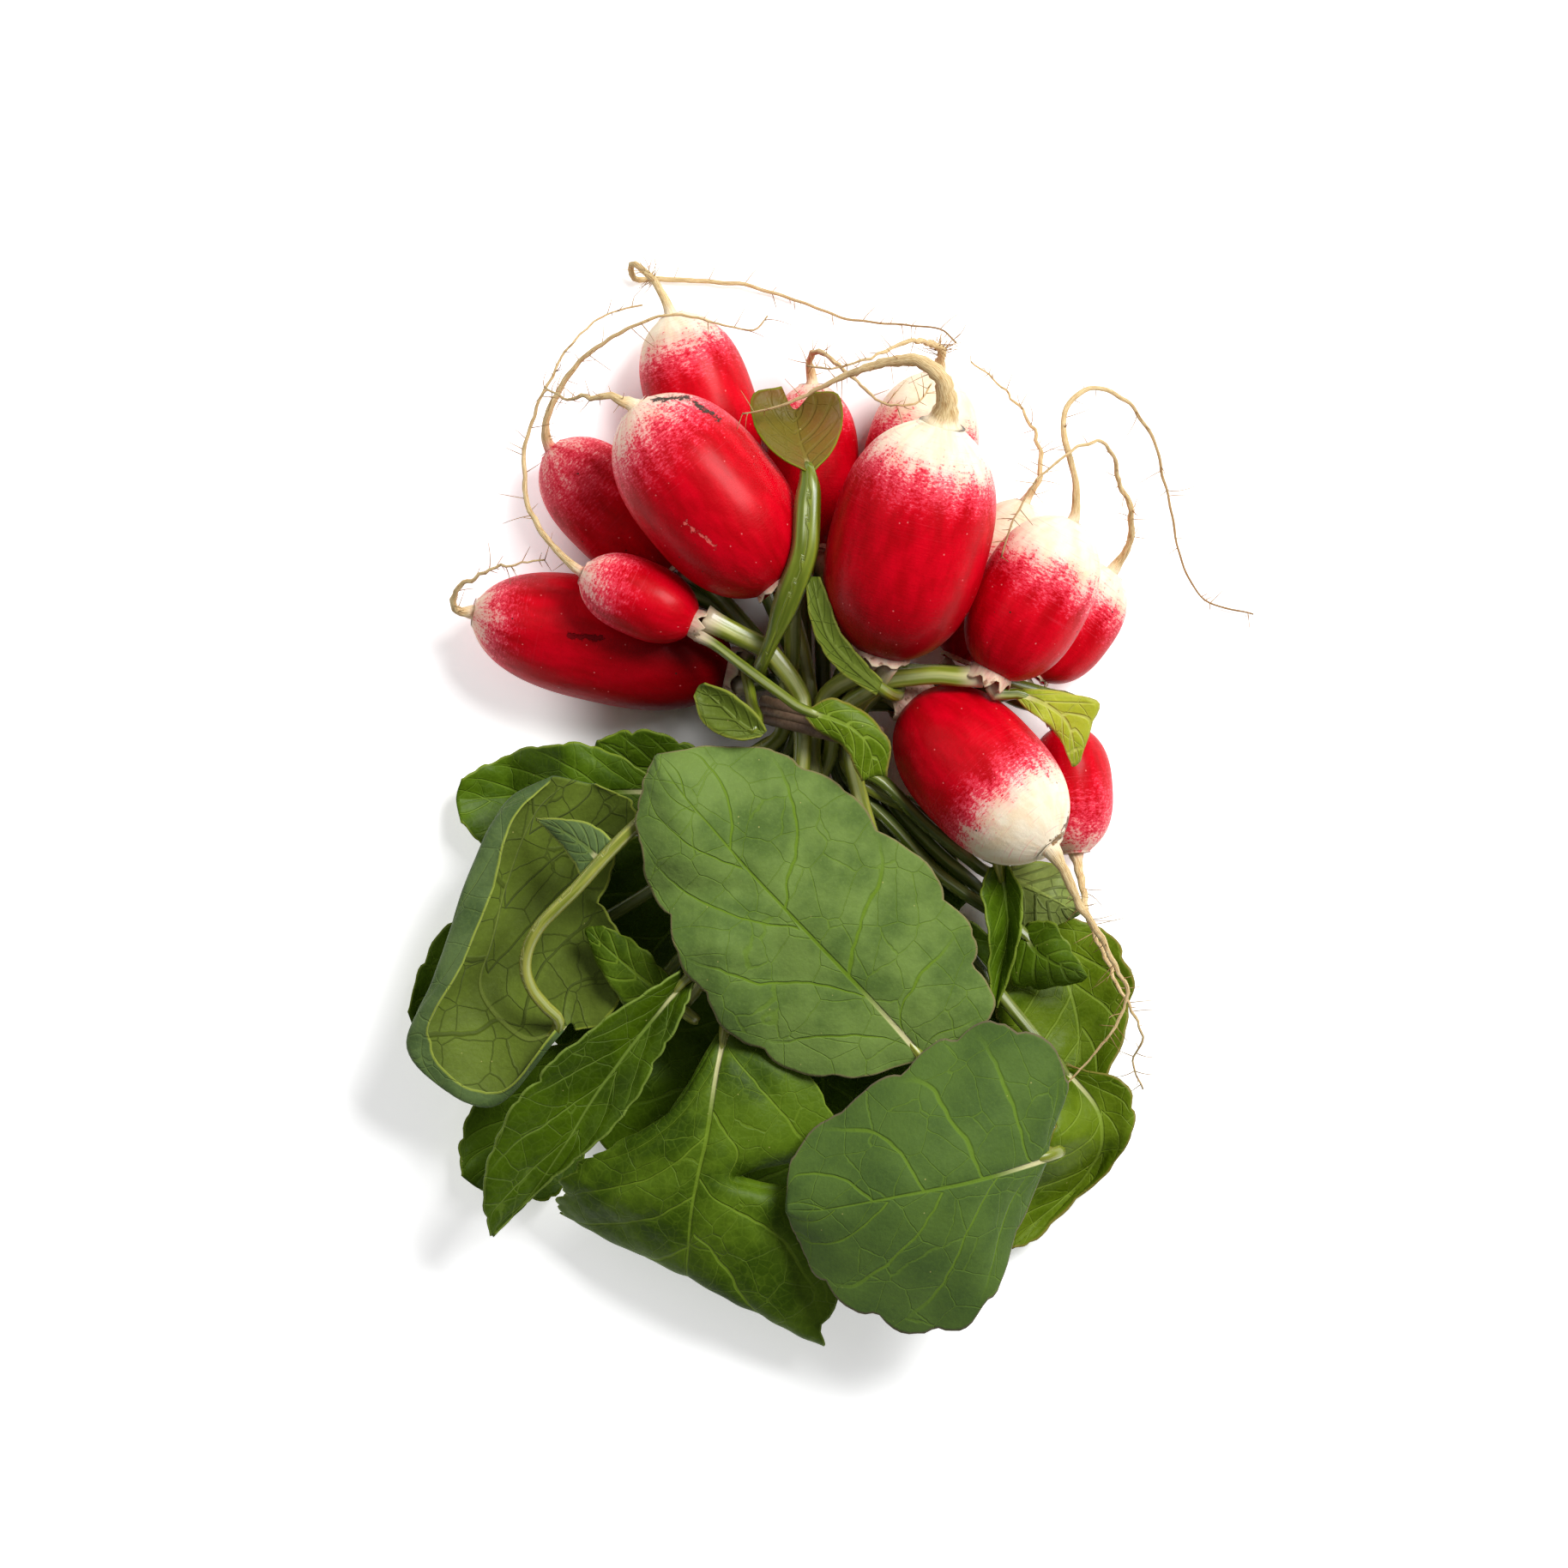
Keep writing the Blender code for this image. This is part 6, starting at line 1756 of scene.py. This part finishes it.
class BUNCH_OT_leaves(bpy.types.Operator):
    """Lays the leaves on the heap and leads their stalks through the band"""

    bl_idname = "bunch.leaves"
    bl_label = "Leaves and Stalks"

    def execute(self, context):
        laid, low_top = laid_blades()
        leaves = (*LOW_LEAVES, *HIGH_LEAVES, *SMALL_LEAVES)
        grids = {name: leaf.coarse for name, leaf in laid.items()}
        routes = {name: leaf.after for name, leaf in laid.items()}
        stalks = relaxed_stalks(leaves, grids, routes, low_top)
        greens = {kind: (leaf_finish(kind, green, False), leaf_finish(kind, green, True))
                  for kind, green in GREENS.items()}
        # The last number is the strength of the painted highlight along each stalk's top
        pale = stalk_finish("stalk_pale_green", srgb(160, 162, 70), srgb(116, 126, 34), 0.35)
        # Painted shade: the low leaves' stalks get a darker copy, for where they lie in the heap's shade
        shaded = stalk_finish("stalk_shaded_green", srgb(112, 124, 46), srgb(72, 88, 18), 0.12)
        fresh = stalk_finish("stalk_fresh_green", srgb(122, 134, 36), srgb(84, 98, 10), 0.2)
        for leaf in leaves:
            upper, under = greens[LEAF_LOOKS.get(leaf.name, "middle")]
            stalk = fresh if leaf in SMALL_LEAVES else shaded if leaf in LOW_LEAVES else pale
            piece = leaf_piece(leaf, laid[leaf.name], stalks[leaf.name], (upper, under, stalk))
            stand_for(smoothed(piece), leaf.name)
        return {"FINISHED"}


class BUNCH_OT_band(bpy.types.Operator):
    """Winds the elastic band round the stalks"""

    bl_idname = "bunch.band"
    bl_label = "Elastic Band"

    def execute(self, context):
        settings = context.scene.bunch_band
        finish = rubber_finish(settings)
        strand = settings.strand / MM
        ring = np.linspace(0, 2 * math.pi, BAND_STEPS, endpoint=False)
        pieces = []
        for k in range(BAND_TURNS):
            shift = (k - (BAND_TURNS - 1) / 2) * BAND_PITCH
            x = (BAND_INSIDE[0] + strand) * np.cos(ring)
            z = (BAND_INSIDE[1] + strand) * np.sin(ring)
            y = shift + x * math.tan(BAND_TURN)
            path = np.stack([x, y, z], axis=1) + BAND_CENTRE
            pieces.append(ring_piece(f"band_turn_{k}", path, strand, finish))
        piece = joined(pieces)
        piece.name = piece.data.name = "band_strands"
        stand_for(smoothed(piece), "elastic_band")
        return {"FINISHED"}


class BUNCH_OT_stage(bpy.types.Operator):
    """Sets the table, the soft light and the camera straight above"""

    bl_idname = "bunch.stage"
    bl_label = "Table, Light and Camera"

    def execute(self, context):
        settings = context.scene.bunch_stage
        bpy.ops.object.select_all(action="DESELECT")
        bpy.ops.mesh.primitive_plane_add(size=settings.table_side)
        table = context.object
        table.name = "table"
        table.data.materials.append(table_finish(settings))
        middle = photo_point(PHOTO_PIXELS / 2, PHOTO_PIXELS / 2)
        world = bpy.data.worlds.new("soft_white_room")
        world.use_nodes = True
        room = world.node_tree.nodes["Background"].inputs
        room["Color"].default_value = ROOM_COLOUR
        room["Strength"].default_value = ROOM_LIGHT
        context.scene.world = world
        context.scene.view_settings.view_transform = "Standard"
        for name, (place, size, power) in SOFT_BOXES.items():
            soft_light(name, middle + Vector(place), middle, size, power)
        height = settings.camera_height
        bpy.ops.object.camera_add(location=middle + Vector((0, 0, height)), rotation=(0, 0, 0))
        camera = context.object
        camera.name = "camera_above"
        width = PHOTO_PIXELS / PIXELS_PER_MM * MM
        camera.data.lens = camera.data.sensor_width * (height - PICTURE_HEIGHT) / width
        camera.data.clip_start, camera.data.clip_end = CAMERA_CLIP
        context.scene.camera = camera
        return {"FINISHED"}


class BUNCH_PT_panel(bpy.types.Panel):
    """Lists the makers of the pieces and their settings"""

    bl_label = "Bunch of Radishes"
    bl_idname = "BUNCH_PT_panel"
    bl_space_type = "VIEW_3D"
    bl_region_type = "UI"
    bl_category = "Radishes"

    def draw(self, context):
        for operator, group in zip(OPERATORS, ("bunch_bulbs", None, "bunch_band", "bunch_stage")):
            box = self.layout.box()
            box.operator(operator.bl_idname)
            if group:
                settings = getattr(context.scene, group)
                for name in settings.__annotations__:
                    box.prop(settings, name)


GROUPS = {"bunch_bulbs": BulbSettings, "bunch_band": BandSettings, "bunch_stage": StageSettings}
OPERATORS = (BUNCH_OT_bulbs, BUNCH_OT_leaves, BUNCH_OT_band, BUNCH_OT_stage)


def register():
    for group in (*GROUPS.values(), *OPERATORS, BUNCH_PT_panel):
        bpy.utils.register_class(group)
    for name, group in GROUPS.items():
        setattr(bpy.types.Scene, name, bpy.props.PointerProperty(type=group))


def unregister():
    for name in GROUPS:
        delattr(bpy.types.Scene, name)
    for group in (*GROUPS.values(), *OPERATORS, BUNCH_PT_panel):
        bpy.utils.unregister_class(group)


def main():
    register()
    bpy.ops.bunch.bulbs()
    bpy.ops.bunch.leaves()
    bpy.ops.bunch.band()
    bpy.ops.bunch.stage()


if __name__ == "__main__":
    main()
